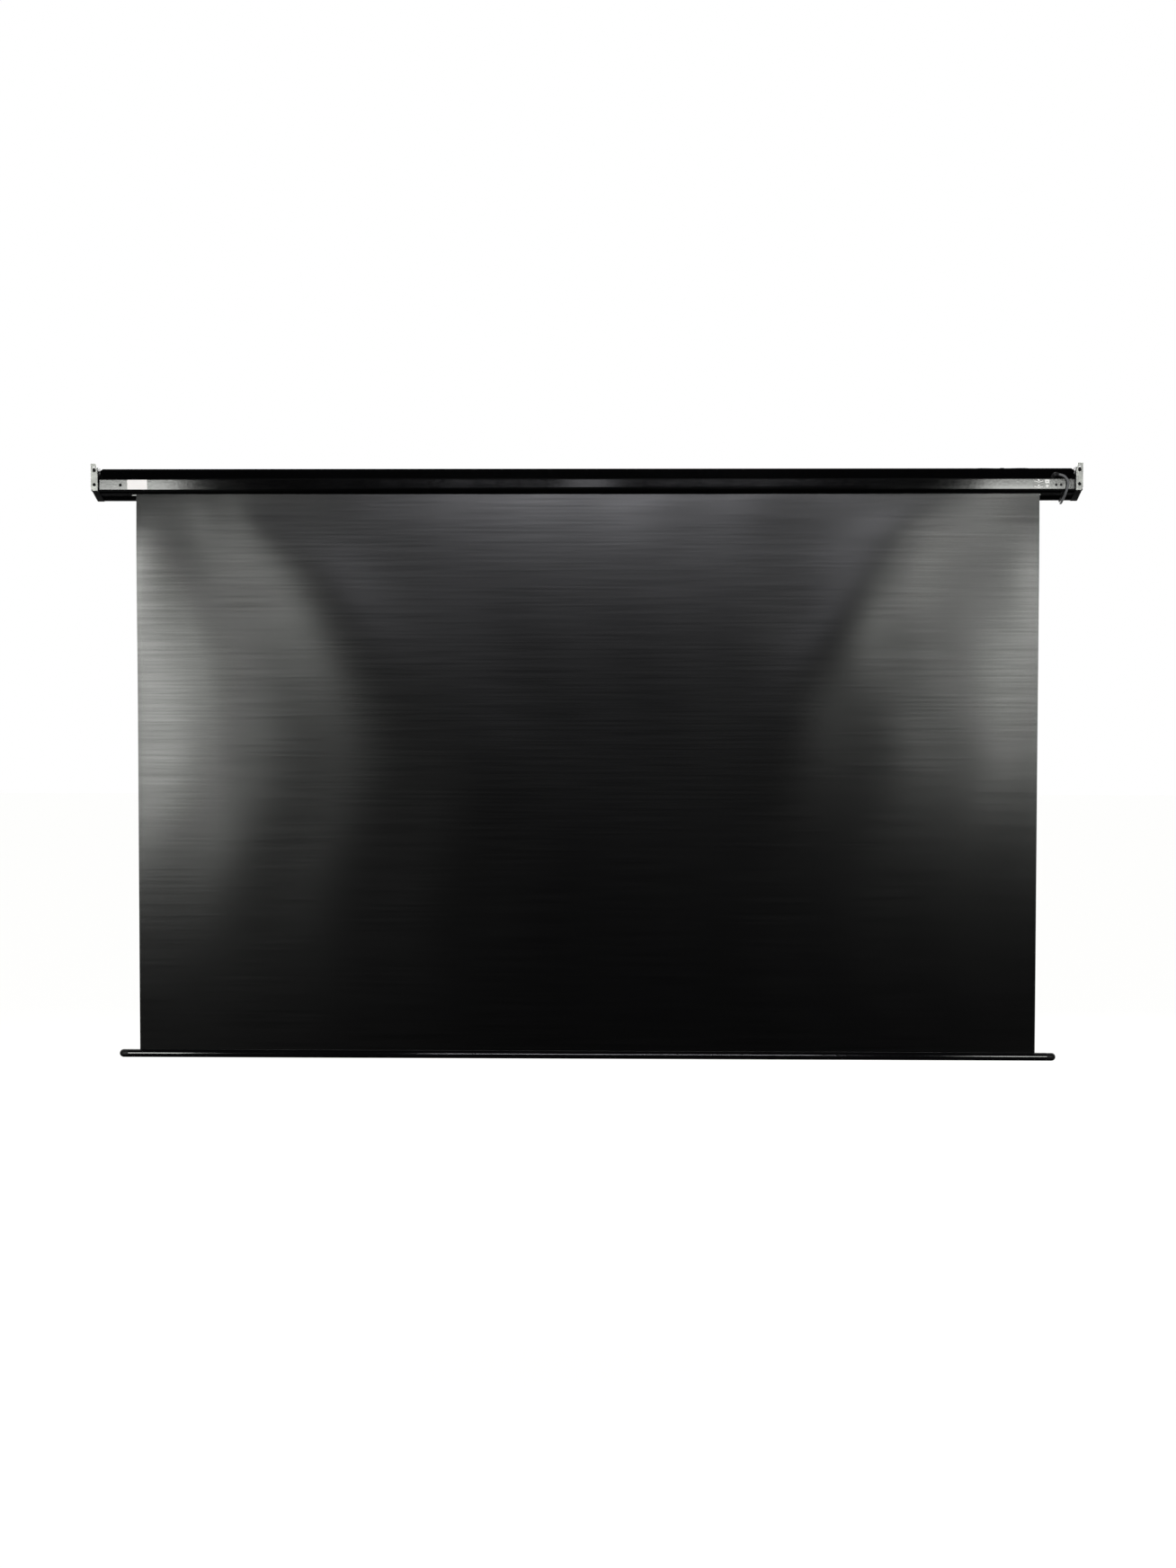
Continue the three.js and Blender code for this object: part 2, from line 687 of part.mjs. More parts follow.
function bracketScrew(side) {
  const sink = bracketScrewHead - bracketScrewRadius;
  return turnedY([
    [bracketHeadSink, 0],
    [bracketHeadSink, bracketScrewHead],
    [bracketHeadSink + sink, bracketScrewRadius],
    [bracketScrewLength, bracketScrewRadius],
    [bracketScrewLength, 0],
  ], side * (bracketInnerX + bracketWidth / 2), 0, 16);
}

function capScrew(side, [y, z]) {
  const head = capOuterFace;
  const shoulder = head - capScrewHeadLength;
  const tip = plateX - gap - capScrewGrip;
  return turnedX([
    [side * head, 0],
    [side * head, capScrewHead * Math.SQRT1_2],
    [side * (head - capScrewHeadLength / 2), capScrewHead],
    [side * shoulder, capScrewHead],
    [side * shoulder, capScrewRadius],
    [side * tip, capScrewRadius],
    [side * tip, 0],
  ], y, z, 12);
}

for (const [name, side] of [['left', -1], ['right', 1]]) {
  add(`end_cap_${name}`, endCap(side), blackPlastic());
  add(`wall_bracket_${name}`, wallBracket(side), zincSteel());
  add(`bracket_screw_${name}`, bracketScrew(side), greySteel());
  for (const [place, at] of Object.entries(portPlaces)) {
    add(`cap_screw_${name}_${place}`, capScrew(side, at), greySteel());
  }
}

// Motor end
const squareHole = (from, to) => alongX([
  [rollerY - stubSize / 2 - gap, rollerZ - stubSize / 2 - gap],
  [rollerY + stubSize / 2 + gap, rollerZ - stubSize / 2 - gap],
  [rollerY + stubSize / 2 + gap, rollerZ + stubSize / 2 + gap],
  [rollerY - stubSize / 2 - gap, rollerZ + stubSize / 2 + gap],
], from, to);
add('motor_bracket', endPlate(1, squareHole, []), zincSteel());

function motorHead() {
  const end = motorHeadX + headLength;
  const drum = turnedX([
    [motorHeadX, 0],
    [motorHeadX, headRadius - headChamfer],
    [motorHeadX + headChamfer, headRadius],
    [end - headChamfer, headRadius],
    [end, headRadius - headChamfer],
    [end, 0],
  ], rollerY, rollerZ);
  const stub = alongX([
    [rollerY - stubSize / 2, rollerZ - stubSize / 2],
    [rollerY + stubSize / 2, rollerZ - stubSize / 2],
    [rollerY + stubSize / 2, rollerZ + stubSize / 2],
    [rollerY - stubSize / 2, rollerZ + stubSize / 2],
  ], end - headChamfer, plateX + plateThickness + stubLength);
  const blockFace = bandBack + caseWall + limitBlockFace;
  const block = alongX(rounded([
    [blockFace, limitBlockBottom, headChamfer],
    [rollerY - headRadius * stubRadiusShare, limitBlockBottom, 0],
    [rollerY - headRadius * stubRadiusShare, limitBlockTop, 0],
    [blockFace, limitBlockTop, headChamfer],
  ]), motorHeadX + headChamfer, motorHeadX + headChamfer + limitBlockLength);
  const bores = limitScrewPlaces.map((x) => rodY(
    blockFace - overrun, blockFace + limitScrewReach + runningGap, limitScrewRadius + runningGap, x, limitScrewLevel));
  return cut(joined(drum, stub, block), bores);
}

add('motor_head', motorHead(), motorWhite());
add('motor_tube', rodX(motorHeadX - gap - motorLength, motorHeadX - gap, motorRadius, rollerY, rollerZ), greySteel());

function limitScrew(x) {
  const face = bandBack + caseWall + gap;
  const tip = bandBack + caseWall + limitBlockFace + limitScrewReach;
  const screw = rodY(face, tip, limitScrewRadius, x, limitScrewLevel, 16);
  return cut(screw, [rodY(face - overrun, face + limitSocketDepth, limitSocketRadius, x, limitScrewLevel, 6)]);
}

add('up_limit_screw', limitScrew(limitScrewPlaces[0]), motorWhite());
add('down_limit_screw', limitScrew(limitScrewPlaces[1]), motorWhite());

// Roller, with what turns with it
add('roller_tube', turnedX([
  [tubeLeftEnd, tubeInner],
  [tubeLeftEnd, tubeRadius],
  [tubeRightEnd, tubeRadius],
  [tubeRightEnd, tubeInner],
], rollerY, rollerZ), zincSteel());

// The fabric's turns run clockwise from where it leaves the roll on the wall side
function fabricRoll() {
  const stepsPerTurn = 28;
  const steps = Math.round(rollTurns * stepsPerTurn);
  const at = (i, depth) => {
    const turn = Math.PI - 2 * Math.PI * i / stepsPerTurn;
    const radius = rollEnd - rollPitch * i / stepsPerTurn - depth;
    return [rollerY + radius * Math.cos(turn), rollerZ + radius * Math.sin(turn)];
  };
  const outer = Array.from({ length: steps + 1 }, (_, i) => at(i, 0));
  const inner = Array.from({ length: steps + 1 }, (_, i) => at(i, fabricThickness)).reverse();
  return alongX([...outer, ...inner], fabricCentreX - fabricWidth / 2, fabricCentreX + fabricWidth / 2);
}

// The adhesive strip between the tube and the fabric's inner end
function fabricTape() {
  const steps = 6;
  const sweep = tapeWidth / tubeRadius;
  const start = Math.PI - 2 * Math.PI * rollTurns;
  const arc = (radius) => Array.from({ length: steps + 1 }, (_, i) => [
    rollerY + radius * Math.cos(start + sweep * i / steps),
    rollerZ + radius * Math.sin(start + sweep * i / steps),
  ]);
  const outline = [...arc(tubeRadius + gap), ...arc(tubeRadius + gap + tapeThickness).reverse()];
  return alongX(outline, fabricCentreX - fabricWidth / 2, fabricCentreX + fabricWidth / 2);
}

add('fabric_roll', fabricRoll(), blackVinyl());
add('fabric_tape', fabricTape(), motorWhite());

add('motor_crown', turnedX([
  [tubeRightEnd - crownLength, motorRadius + runningGap],
  [tubeRightEnd - crownLength, tubeInner - gap],
  [tubeRightEnd + gap, tubeInner - gap],
  [tubeRightEnd + gap, tubeRadius],
  [tubeRightEnd + gap + crownFlange, tubeRadius],
  [tubeRightEnd + gap + crownFlange, motorRadius + runningGap],
], rollerY, rollerZ), motorWhite());

const motorEnd = motorHeadX - gap - motorLength;
const hexagon = (radius) => circle(rollerY, rollerZ, radius, 6);
const wheelEnd = motorEnd - gap - shaftLength / 2 + wheelLength / 2;
function driveWheel() {
  const disc = rodX(wheelEnd - wheelLength, wheelEnd, tubeInner - gap, rollerY, rollerZ);
  return cut(disc, [alongX(hexagon(shaftRadius + gap), wheelEnd - wheelLength - overrun, wheelEnd + overrun)]);
}
add('drive_wheel', driveWheel(), motorWhite());
add('drive_shaft', alongX(hexagon(shaftRadius), motorEnd - runningGap - shaftLength, motorEnd - runningGap),
  greySteel());

// Idler end
add('idler_plug', turnedX([
  [tubeLeftEnd - gap - plugFlange, pinRadius + gap],
  [tubeLeftEnd - gap - plugFlange, tubeRadius],
  [tubeLeftEnd - gap, tubeRadius],
  [tubeLeftEnd - gap, tubeInner - gap],
  [tubeLeftEnd - gap + plugLength, tubeInner - gap],
  [tubeLeftEnd - gap + plugLength, pinRadius + gap],
], rollerY, rollerZ), motorWhite());
add('idler_pin', rodX(-plateX - plateThickness - pinPastBracket, tubeLeftEnd + pinInPlug, pinRadius,
  rollerY, rollerZ, 20), greySteel());

add('idler_bearing', turnedX([
  [-plateX - plateThickness - gap, pinRadius + runningGap],
  [-plateX - plateThickness - gap, bearingRadius],
  [-plateX + gap, bearingRadius],
  [-plateX + gap, bearingFlangeRadius],
  [-plateX + gap + bearingFlange, bearingFlangeRadius],
  [-plateX + gap + bearingFlange, pinRadius + runningGap],
], rollerY, rollerZ), brassBlade());

const bearingHole = (from, to) => rodX(from, to, bearingRadius + gap, rollerY, rollerZ);
function idlerBracket() {
  const face = bandBack + caseWall + gap;
  const foot = alongX([
    [face, -footHeight / 2],
    [face + footThickness, -footHeight / 2],
    [face + footThickness, footHeight / 2 - footThickness],
    [face, footHeight / 2 - footThickness],
  ], -plateX - plateThickness / 2, -plateX + footLength);
  const hole = rodY(face - overrun, face + footThickness + overrun, bracketScrewRadius + gap, idlerScrewX, 0);
  return cut(endPlate(-1, bearingHole, [foot]), [hole]);
}
add('idler_bracket', idlerBracket(), zincSteel());
add('idler_bracket_screw', turnedY([
  [bandBack - gap - capScrewHeadLength, 0],
  [bandBack - gap - capScrewHeadLength, bracketScrewHead * Math.SQRT1_2],
  [bandBack - gap - capScrewHeadLength / 2, bracketScrewHead],
  [bandBack - gap, bracketScrewHead],
  [bandBack - gap, bracketScrewRadius],
  [bandBack + caseWall + 2 * footThickness, bracketScrewRadius],
  [bandBack + caseWall + 2 * footThickness, 0],
], idlerScrewX, 0, 16), greySteel());

// Fabric: soft waves fan out from the top corners, and the side edges curl to the wall
function sheetBulge(x, z) {
  const depth = sheetTop - z;
  const smooth = (t) => THREE.MathUtils.smoothstep(t, 0, 1);
  const hold = smooth((depth - waveStart) / waveStart) * smooth((z - sheetBottom) / waveStart);
  let bulge = 0;
  for (const side of [-1, 1]) {
    const across = fabricWidth / 2 - side * (x - fabricCentreX);
    const reach = Math.hypot(across, depth);
    const turn = Math.atan2(depth, across);
    bulge += waveDepth * Math.exp(-reach / waveReach) * Math.sin(waveCount * turn + side);
  }
  const edge = fabricWidth / 2 - Math.abs(x - fabricCentreX);
  const curl = edge < edgeCurlWidth ? (1 - edge / edgeCurlWidth) ** 2 : 0;
  return hold * bulge - curl * edgeCurlDepth * smooth(depth / waveStart);
}

function screenSheet() {
  const columns = 26;
  const rows = 18;
  const edges = [0, edgeCurlWidth / 2, edgeCurlWidth];
  const inner = (fabricWidth - 2 * edgeCurlWidth) / columns;
  const across = [
    ...edges.slice(0, 2),
    ...Array.from({ length: columns + 1 }, (_, i) => edgeCurlWidth + inner * i),
    fabricWidth - edges[1],
    fabricWidth,
  ];
  const down = Array.from({ length: rows + 1 }, (_, i) => sheetTop + (sheetBottom - sheetTop) * i / rows);
  const positions = [];
  for (const side of [-1, 1]) {
    for (const z of down) {
      for (const u of across) {
        const x = fabricCentreX - fabricWidth / 2 + u;
        positions.push(x, sheetY + sheetBulge(x, z) + side * fabricThickness / 2, z);
      }
    }
  }
  const wide = across.length;
  const layer = wide * down.length;
  const index = [];
  const quad = (a, b, c, d) => index.push(a, b, c, a, c, d);
  for (let r = 0; r < rows; r += 1) {
    for (let c = 0; c < wide - 1; c += 1) {
      const at = r * wide + c;
      quad(at, at + wide, at + wide + 1, at + 1);
      quad(layer + at, layer + at + 1, layer + at + wide + 1, layer + at + wide);
    }
  }
  const rim = [];
  for (let c = 0; c < wide - 1; c += 1) rim.push(c);
  for (let r = 0; r < rows; r += 1) rim.push(r * wide + wide - 1);
  for (let c = wide - 1; c > 0; c -= 1) rim.push(rows * wide + c);
  for (let r = rows; r > 0; r -= 1) rim.push(r * wide);
  rim.forEach((at, i) => {
    const next = rim[(i + 1) % rim.length];
    quad(at, next, layer + next, layer + at);
  });
  const geometry = new THREE.BufferGeometry();
  geometry.setAttribute('position', new THREE.Float32BufferAttribute(positions, 3));
  geometry.setIndex(index);
  return outward(geometry);
}
add('screen_sheet', screenSheet(), blackVinyl());

// Bar: a tube with a slot for the fabric's hem, which a rod holds in it
function slottedTube() {
  const steps = 30;
  const open = Math.asin(barSlot / 2 / barRadius);
  const openInside = Math.asin(barSlot / 2 / barInner);
  const arc = (radius, half) => Array.from({ length: steps + 1 }, (_, i) => {
    const turn = Math.PI / 2 + half + (2 * Math.PI - 2 * half) * i / steps;
    return [sheetY + radius * Math.cos(turn), barZ + radius * Math.sin(turn)];
  });
  return [...arc(barRadius, open), ...arc(barInner, openInside).reverse()];
}

const barTubeEnd = barLength / 2 - barCapLength;
add('weight_bar', alongX(slottedTube(), fabricCentreX - barTubeEnd, fabricCentreX + barTubeEnd), blackPaint());

const hemZ = barZ + hemDrop;
const hemEnds = [fabricCentreX - fabricWidth / 2, fabricCentreX + fabricWidth / 2];
function sheetHem() {
  const steps = 20;
  const open = Math.asin(fabricThickness / hemOuter);
  const openInside = Math.asin(fabricThickness / 4 / hemInner);
  const arc = (radius, half) => Array.from({ length: steps + 1 }, (_, i) => {
    const turn = Math.PI / 2 + half + (2 * Math.PI - 2 * half) * i / steps;
    return [sheetY + radius * Math.cos(turn), hemZ + radius * Math.sin(turn)];
  });
  const neckTop = sheetBottom - gap;
  return [
    [sheetY - fabricThickness, neckTop],
    ...arc(hemOuter, open),
    [sheetY + fabricThickness, neckTop],
    [sheetY + fabricThickness / 4, neckTop],
    ...arc(hemInner, openInside).reverse(),
    [sheetY - fabricThickness / 4, neckTop],
  ];
}
add('sheet_hem', alongX(sheetHem(), ...hemEnds), blackVinyl());
add('hem_rod', rodX(...hemEnds, hemRodRadius, sheetY, hemZ, 16), greySteel());

function barCap(side) {
  const shoulder = barTubeEnd + gap;
  const end = barLength / 2;
  const dome = (end - shoulder) * barCapDomeShare;
  const steps = 6;
  const profile = [
    [shoulder - barCapPlug, 0],
    [shoulder - barCapPlug, barInner - gap],
    [shoulder, barInner - gap],
    [shoulder, barRadius],
  ];
  for (let i = 0; i <= steps; i += 1) {
    const turn = Math.PI / 2 * i / steps;
    profile.push([end - dome + dome * Math.sin(turn), i < steps ? barRadius * Math.cos(turn) : 0]);
  }
  return turnedX(profile.map(([along, radius]) => [side * along, radius]), sheetY, barZ, 28)
    .translate(fabricCentreX, 0, 0);
}
add('bar_cap_left', barCap(-1), blackPlastic());
add('bar_cap_right', barCap(1), blackPlastic());

// Mains lead: gland, free stretch, hank on the casing's top, tail and plug
const glandFace = upperBack + lean * (glandLevel - bandHigh) - gap;
const elbow = new THREE.Vector3(glandX, elbowFromWall, glandLevel + elbowRise);
const cordTurn = [cordEndX + cordBulge, cordStandOff, glandLevel - reliefFall];
const underBack = [cordEndX, cordStandOff, bandLow - cordSag + bottomSlope * bandLipInset];
const reliefAt = (reach) => new THREE.Vector3(...cordTurn).sub(elbow).setLength(glandRadius + reach).add(elbow);

function cordGland() {
  const front = elbow.y - glandRadius - glandFace;
  const stem = turnedY([
    [front, 0],
    [front, glandRadius * Math.SQRT1_2],
    [front + glandRadius / 3, glandRadius],
    [-glandFlange, glandRadius],
    [-glandFlange, glandFlangeRadius],
    [0, glandFlangeRadius],
    [0, glandShank],
    [flangeThickness + glandTail, glandShank],
    [flangeThickness + glandTail, 0],
  ], 0, 0, 20);
  stem.rotateX(-Math.atan(lean)).translate(glandX, glandFace, glandLevel);
  const way = reliefAt(reliefLength).sub(elbow);
  const cone = new THREE.CylinderGeometry(reliefTip, glandRadius - gap, way.length(), 16);
  cone.applyQuaternion(new THREE.Quaternion().setFromUnitVectors(axisY, way.clone().normalize()));
  cone.translate(...elbow.clone().addScaledVector(way, 1 / 2).toArray());
  return joined(stem, cone);
}
add('cord_gland', cordGland(), cordBlack());

// From the gland through the casing's wall to the motor head, square to its drum
const leadTurn = new THREE.Vector3(glandX, glandFace + motorLeadReach, glandLevel);
const leadEnd = leadTurn.clone().sub(new THREE.Vector3(glandX, rollerY, rollerZ))
  .setLength(headRadius + gap).add(new THREE.Vector3(glandX, rollerY, rollerZ));
const motorLeadLine = bentLine([
  [glandX, glandFace + flangeThickness + glandTail + 2 * gap, glandLevel, 0],
  [...leadTurn, motorLeadBend],
  [...leadEnd, 0],
]);
add('motor_lead', tubeAlong(motorLeadLine, motorLeadRadius, 8, 10), cordBlack());

// Places on the casing's sloping top, for the hank and what lies beside it
const topTurn = new THREE.Quaternion().setFromAxisAngle(axisX, -Math.atan(topSlope));
function onTop(x, y, rise) {
  const lifted = axisZ.clone().multiplyScalar(rise).applyQuaternion(topTurn);
  return new THREE.Vector3(x, y + lifted.y, topAt(y) + lifted.z);
}

// Centre line of the hank: it spirals in on the lower layer and out again on the upper,
// each loop two runs and two half-round folds, drawn in at the waist
const hankTurns = hankLoops / 2;
const hankLift = 2 * gap + tieThickness + cordRadius;
const foldShare = 1 / 3; // of a loop's steps, in each fold
const halfRunShare = 1 / 12; // in each half of a run
function hankPoint(t) {
  const half = hankRun / 2;
  const radius = hankFoldRadius + Math.abs(t - hankTurns) * hankPitch;
  const along = ((t + halfRunShare) % 1 + 1) % 1 - halfRunShare;
  const drawnIn = (u) => hankWaist * (1 + Math.cos(Math.PI * u / half)) / 2;
  let u;
  let v;
  if (along <= halfRunShare) {
    u = -half * along / halfRunShare;
    v = radius - drawnIn(u);
  } else if (along < halfRunShare + foldShare) {
    const turn = Math.PI * (along - halfRunShare) / foldShare;
    u = -half - radius * Math.sin(turn);
    v = radius * Math.cos(turn);
  } else if (along <= 3 * halfRunShare + foldShare) {
    u = half * (along - 2 * halfRunShare - foldShare) / halfRunShare;
    v = drawnIn(u) - radius;
  } else {
    const turn = Math.PI * (along - 3 * halfRunShare - foldShare) / foldShare;
    u = half + radius * Math.sin(turn);
    v = -radius * Math.cos(turn);
  }
  const climb = THREE.MathUtils.smoothstep(t, hankTurns - halfRunShare, hankTurns + halfRunShare);
  return onTop(hankCentreX + u, hankCentreY + v, hankLift + hankLayer * climb);
}

// A tube through points, each ring square to the way there
function ringTube(points, radius, sides) {
  const positions = [];
  const up = axisZ.clone();
  points.forEach((p, i) => {
    const before = points[Math.max(i - 1, 0)];
    const after = points[Math.min(i + 1, points.length - 1)];
    const way = after.clone().sub(before).normalize();
    const across = up.clone().cross(way).normalize();
    const rise = way.clone().cross(across);
    for (let k = 0; k < sides; k += 1) {
      const turn = 2 * Math.PI * k / sides;
      const at = p.clone().addScaledVector(across, radius * Math.cos(turn));
      at.addScaledVector(rise, radius * Math.sin(turn));
      positions.push(at.x, at.y, at.z);
    }
  });
  const index = [];
  for (let i = 0; i < points.length - 1; i += 1) {
    for (let k = 0; k < sides; k += 1) {
      const a = i * sides + k;
      const b = i * sides + (k + 1) % sides;
      index.push(a, b, b + sides, a, b + sides, a + sides);
    }
  }
  const last = (points.length - 1) * sides;
  for (let k = 1; k < sides - 1; k += 1) index.push(0, k + 1, k, last, last + k, last + k + 1);
  const geometry = new THREE.BufferGeometry();
  geometry.setAttribute('position', new THREE.Float32BufferAttribute(positions, 3));
  geometry.setIndex(index);
  return outward(geometry);
}

const hankSteps = 24;
const hankCount = (hankLoops + 2 * halfRunShare) * hankSteps;
const hankLine = Array.from({ length: hankCount + 1 }, (_, i) => hankPoint(i / hankSteps - halfRunShare));
add('cord_hank', ringTube(hankLine, cordRadius, 6), cordBlack());

// The least gap of the hank to itself, leaving out what is next to each point along the line
function leastGap(line, radius) {
  const fine = line.slice(1).flatMap((p, i) => [0, 1, 2, 3].map((k) => line[i].clone().lerp(p, k / 4)));
  const along = [0];
  for (let i = 1; i < fine.length; i += 1) along.push(along[i - 1] + fine[i].distanceTo(fine[i - 1]));
  let least = Infinity;
  fine.forEach((p, i) => {
    for (let j = i + 1; j < fine.length; j += 1) {
      if (along[j] - along[i] > 6 * radius) least = Math.min(least, p.distanceTo(fine[j]));
    }
  });
  return least - 2 * radius;
}
const lengthOf = (line) => line.slice(1).reduce((sum, p, i) => sum + p.distanceTo(line[i]), 0);
console.log(`cord_hank: least gap to itself ${leastGap(hankLine, cordRadius).toFixed(2)} mm`);

// Free stretch: from the relief down between casing and wall, under, up the front, to the hank
const hankStart = hankLine[0];
const hankEnd = hankLine.at(-1);
const frontY = caseFront + cordStandOff;
const cordLine = bentLine([
  [...reliefAt(reliefLength + gap), 0],
  [...cordTurn, cordBend],
  [...underBack, cordBend],
  [cordEndX, frontY, bottomAt(frontY) - cordStandOff / Math.cos(bottomAngle), cordBend],
  [cordEndX, frontY, hankStart.z, cordTopBend],
  [hankStart.x + 2 * gap, hankStart.y, hankStart.z, 0],
]);
add('power_cord', tubeAlong(cordLine, cordRadius, 8, 60), cordBlack());

const plugLift = plugBodyHeight / 2 + gap;
const plugPlace = onTop(plugCentreX, hankCentreY + plugSetBack, plugLift);
const plugTailX = plugCentreX + plugBodyLength / 2 + plugTail;
const tailLine = bentLine([
  [hankEnd.x - 2 * gap, hankEnd.y, hankEnd.z, 0],
  [plugTailX + tailStraight + tailAside, hankEnd.y, hankEnd.z, tailBend],
  [plugTailX + tailStraight, plugPlace.y, plugPlace.z, tailBend],
  [plugTailX + gap, plugPlace.y, plugPlace.z, 0],
]);
add('cord_tail', tubeAlong(tailLine, cordRadius, 8, 20), cordBlack());

// The tie goes once round the waist, lying on the casing's top
function cordTie() {
  const lower = gap;
  const upper = hankLift + hankLayer + cordRadius + gap + tieThickness;
  const back = hankCentreY - hankFoldRadius - (hankTurns - 1 / 2) * hankPitch + hankWaist - cordRadius - gap
    - tieThickness - tieSlack;
  const front = hankCentreY + hankFoldRadius + hankTurns * hankPitch - hankWaist + cordRadius + gap
    + tieThickness + tieSlack;
  const corner = cordRadius + tieThickness + gap;
  const corners = [
    [back, lower, corner],
    [front, lower, corner],
    [front, upper, corner],
    [back, upper, corner],
  ];
  const band = shapeOf(rounded(corners));
  band.holes.push(new THREE.Path(rounded(inset(corners, tieThickness)).map(([y, z]) => new THREE.Vector2(y, z))));
  const geometry = alongX(band, hankCentreX - tieWidth / 2, hankCentreX + tieWidth / 2);
  geometry.translate(0, -hankCentreY, 0);
  geometry.applyQuaternion(topTurn);
  return geometry.translate(0, hankCentreY, topAt(hankCentreY));
}
add('cord_tie', cordTie(), blackPlastic());

// Two-blade plug, lying flat on the casing's top with its blades away from the hank
const plug = new THREE.Group();
plug.position.copy(plugPlace);
plug.quaternion.copy(topTurn);
group.add(plug);

function plugBody() {
  const corners = [
    [-plugBodyLength / 2, -plugBodyWidth / 2, plugBodyHeight / 4],
    [plugBodyLength / 2 - plugNose, -plugBodyWidth / 2, plugBodyHeight / 2],
    [plugBodyLength / 2, -plugTailRadius, plugTailRadius / 2],
    [plugBodyLength / 2, plugTailRadius, plugTailRadius / 2],
    [plugBodyLength / 2 - plugNose, plugBodyWidth / 2, plugBodyHeight / 2],
    [-plugBodyLength / 2, plugBodyWidth / 2, plugBodyHeight / 4],
  ];
  const bevel = plugBodyHeight / 5;
  const body = new THREE.ExtrudeGeometry(shapeOf(rounded(inset(corners, bevel))), {
    depth: plugBodyHeight - 2 * bevel,
    bevelEnabled: true,
    bevelSize: bevel,
    bevelThickness: bevel,
    bevelSegments: 2,
    curveSegments: 1,
  });
  body.translate(0, 0, bevel - plugBodyHeight / 2);
  const tail = turnedX([
    [plugBodyLength / 2 - plugNose / 2, 0],
    [plugBodyLength / 2 - plugNose / 2, plugTailRadius],
    [plugBodyLength / 2 + plugTail, cordRadius + gap],
    [plugBodyLength / 2 + plugTail, 0],
  ], 0, 0, 12);
  return joined(body, tail);
}
add('plug_body', plugBody(), cordBlack(), plug);
for (const [name, way] of [['a', -1], ['b', 1]]) {
  const blade = alongX(rounded([
    [way * bladeSpacing / 2 - bladeThickness / 2, -bladeWidth / 2, bladeThickness / 4],
    [way * bladeSpacing / 2 + bladeThickness / 2, -bladeWidth / 2, bladeThickness / 4],
    [way * bladeSpacing / 2 + bladeThickness / 2, bladeWidth / 2, bladeThickness / 4],
    [way * bladeSpacing / 2 - bladeThickness / 2, bladeWidth / 2, bladeThickness / 4],
  ], 2), -plugBodyLength / 2 - gap - bladeLength, -plugBodyLength / 2 - gap);
  add(`plug_blade_${name}`, blade, brassBlade(), plug);
}

const cordLength = lengthOf(cordLine) + lengthOf(hankLine) + lengthOf(tailLine);
console.log(`cord: ${cordLength.toFixed(0)} mm long; bar: ${(barTop - barZ).toFixed(1)} mm of travel`);

export default group;
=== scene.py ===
import bpy
import math
from mathutils import Matrix, Vector


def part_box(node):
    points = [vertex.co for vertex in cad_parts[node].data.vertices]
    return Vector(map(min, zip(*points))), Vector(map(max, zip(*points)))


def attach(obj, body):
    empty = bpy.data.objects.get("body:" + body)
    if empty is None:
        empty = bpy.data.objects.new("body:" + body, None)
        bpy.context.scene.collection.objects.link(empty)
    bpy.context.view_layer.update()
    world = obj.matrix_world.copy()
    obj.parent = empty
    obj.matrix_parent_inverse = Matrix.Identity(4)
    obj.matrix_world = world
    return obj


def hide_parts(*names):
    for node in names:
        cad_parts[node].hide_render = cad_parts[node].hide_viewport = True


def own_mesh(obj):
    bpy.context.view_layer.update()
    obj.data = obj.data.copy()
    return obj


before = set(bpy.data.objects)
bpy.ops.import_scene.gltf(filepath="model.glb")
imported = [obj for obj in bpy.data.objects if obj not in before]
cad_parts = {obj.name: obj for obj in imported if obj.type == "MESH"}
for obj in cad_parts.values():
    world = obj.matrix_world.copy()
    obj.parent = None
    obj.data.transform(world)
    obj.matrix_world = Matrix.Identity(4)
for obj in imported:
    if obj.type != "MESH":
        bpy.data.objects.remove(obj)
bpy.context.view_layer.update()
scene = bpy.context.scene
scene.view_settings.view_transform = "Standard"
mm = 0.001
seamWeld = 0.01  # mm between points that become one


# Small helpers

def clearSelection():
    if bpy.context.object and bpy.context.object.mode != "OBJECT":
        bpy.ops.object.mode_set(mode="OBJECT")
    bpy.ops.object.select_all(action="DESELECT")


def pick(obj):
    clearSelection()
    obj.select_set(True)
    bpy.context.view_layer.objects.active = obj
    return obj


def settle(obj):  # its place goes into its mesh, as with the CAD nodes
    pick(obj)
    bpy.ops.object.transform_apply(location=True, rotation=True, scale=True)
    return obj


def applyModifier(obj, kind, **settings):
    pick(obj)
    modifier = obj.modifiers.new(kind.title(), kind)
    for key, value in settings.items():
        setattr(modifier, key, value)
    bpy.ops.object.modifier_apply(modifier=modifier.name)


def addShape(operator, **settings):  # a primitive, added with nothing else selected
    clearSelection()
    operator(**settings)
    return bpy.context.object


def addBlock(*spans):  # a block from low to high along X, Y and Z, in mm
    block = addShape(bpy.ops.mesh.primitive_cube_add, size=1,
                     location=[(low + high) / 2 * mm for low, high in spans])
    block.scale = [(high - low) * mm for low, high in spans]
    return settle(block)


def easeEdges(obj, width, segments, angle):  # rounds the edges that are sharper than angle
    applyModifier(obj, "BEVEL", width=width, segments=segments, limit_method="ANGLE",
                  angle_limit=math.radians(angle))


def joinAll(pieces, name):
    pick(pieces[0])
    for piece in pieces[1:]:
        piece.select_set(True)
    if len(pieces) > 1:
        bpy.ops.object.join()
    pieces[0].name = name
    pieces[0].data.name = name
    return pieces[0]


def meshPiece(name, points, faces):
    mesh = bpy.data.meshes.new(name)
    mesh.from_pydata([tuple(p) for p in points], [], faces)
    mesh.update()
    obj = bpy.data.objects.new(name, mesh)
    scene.collection.objects.link(obj)
    return obj


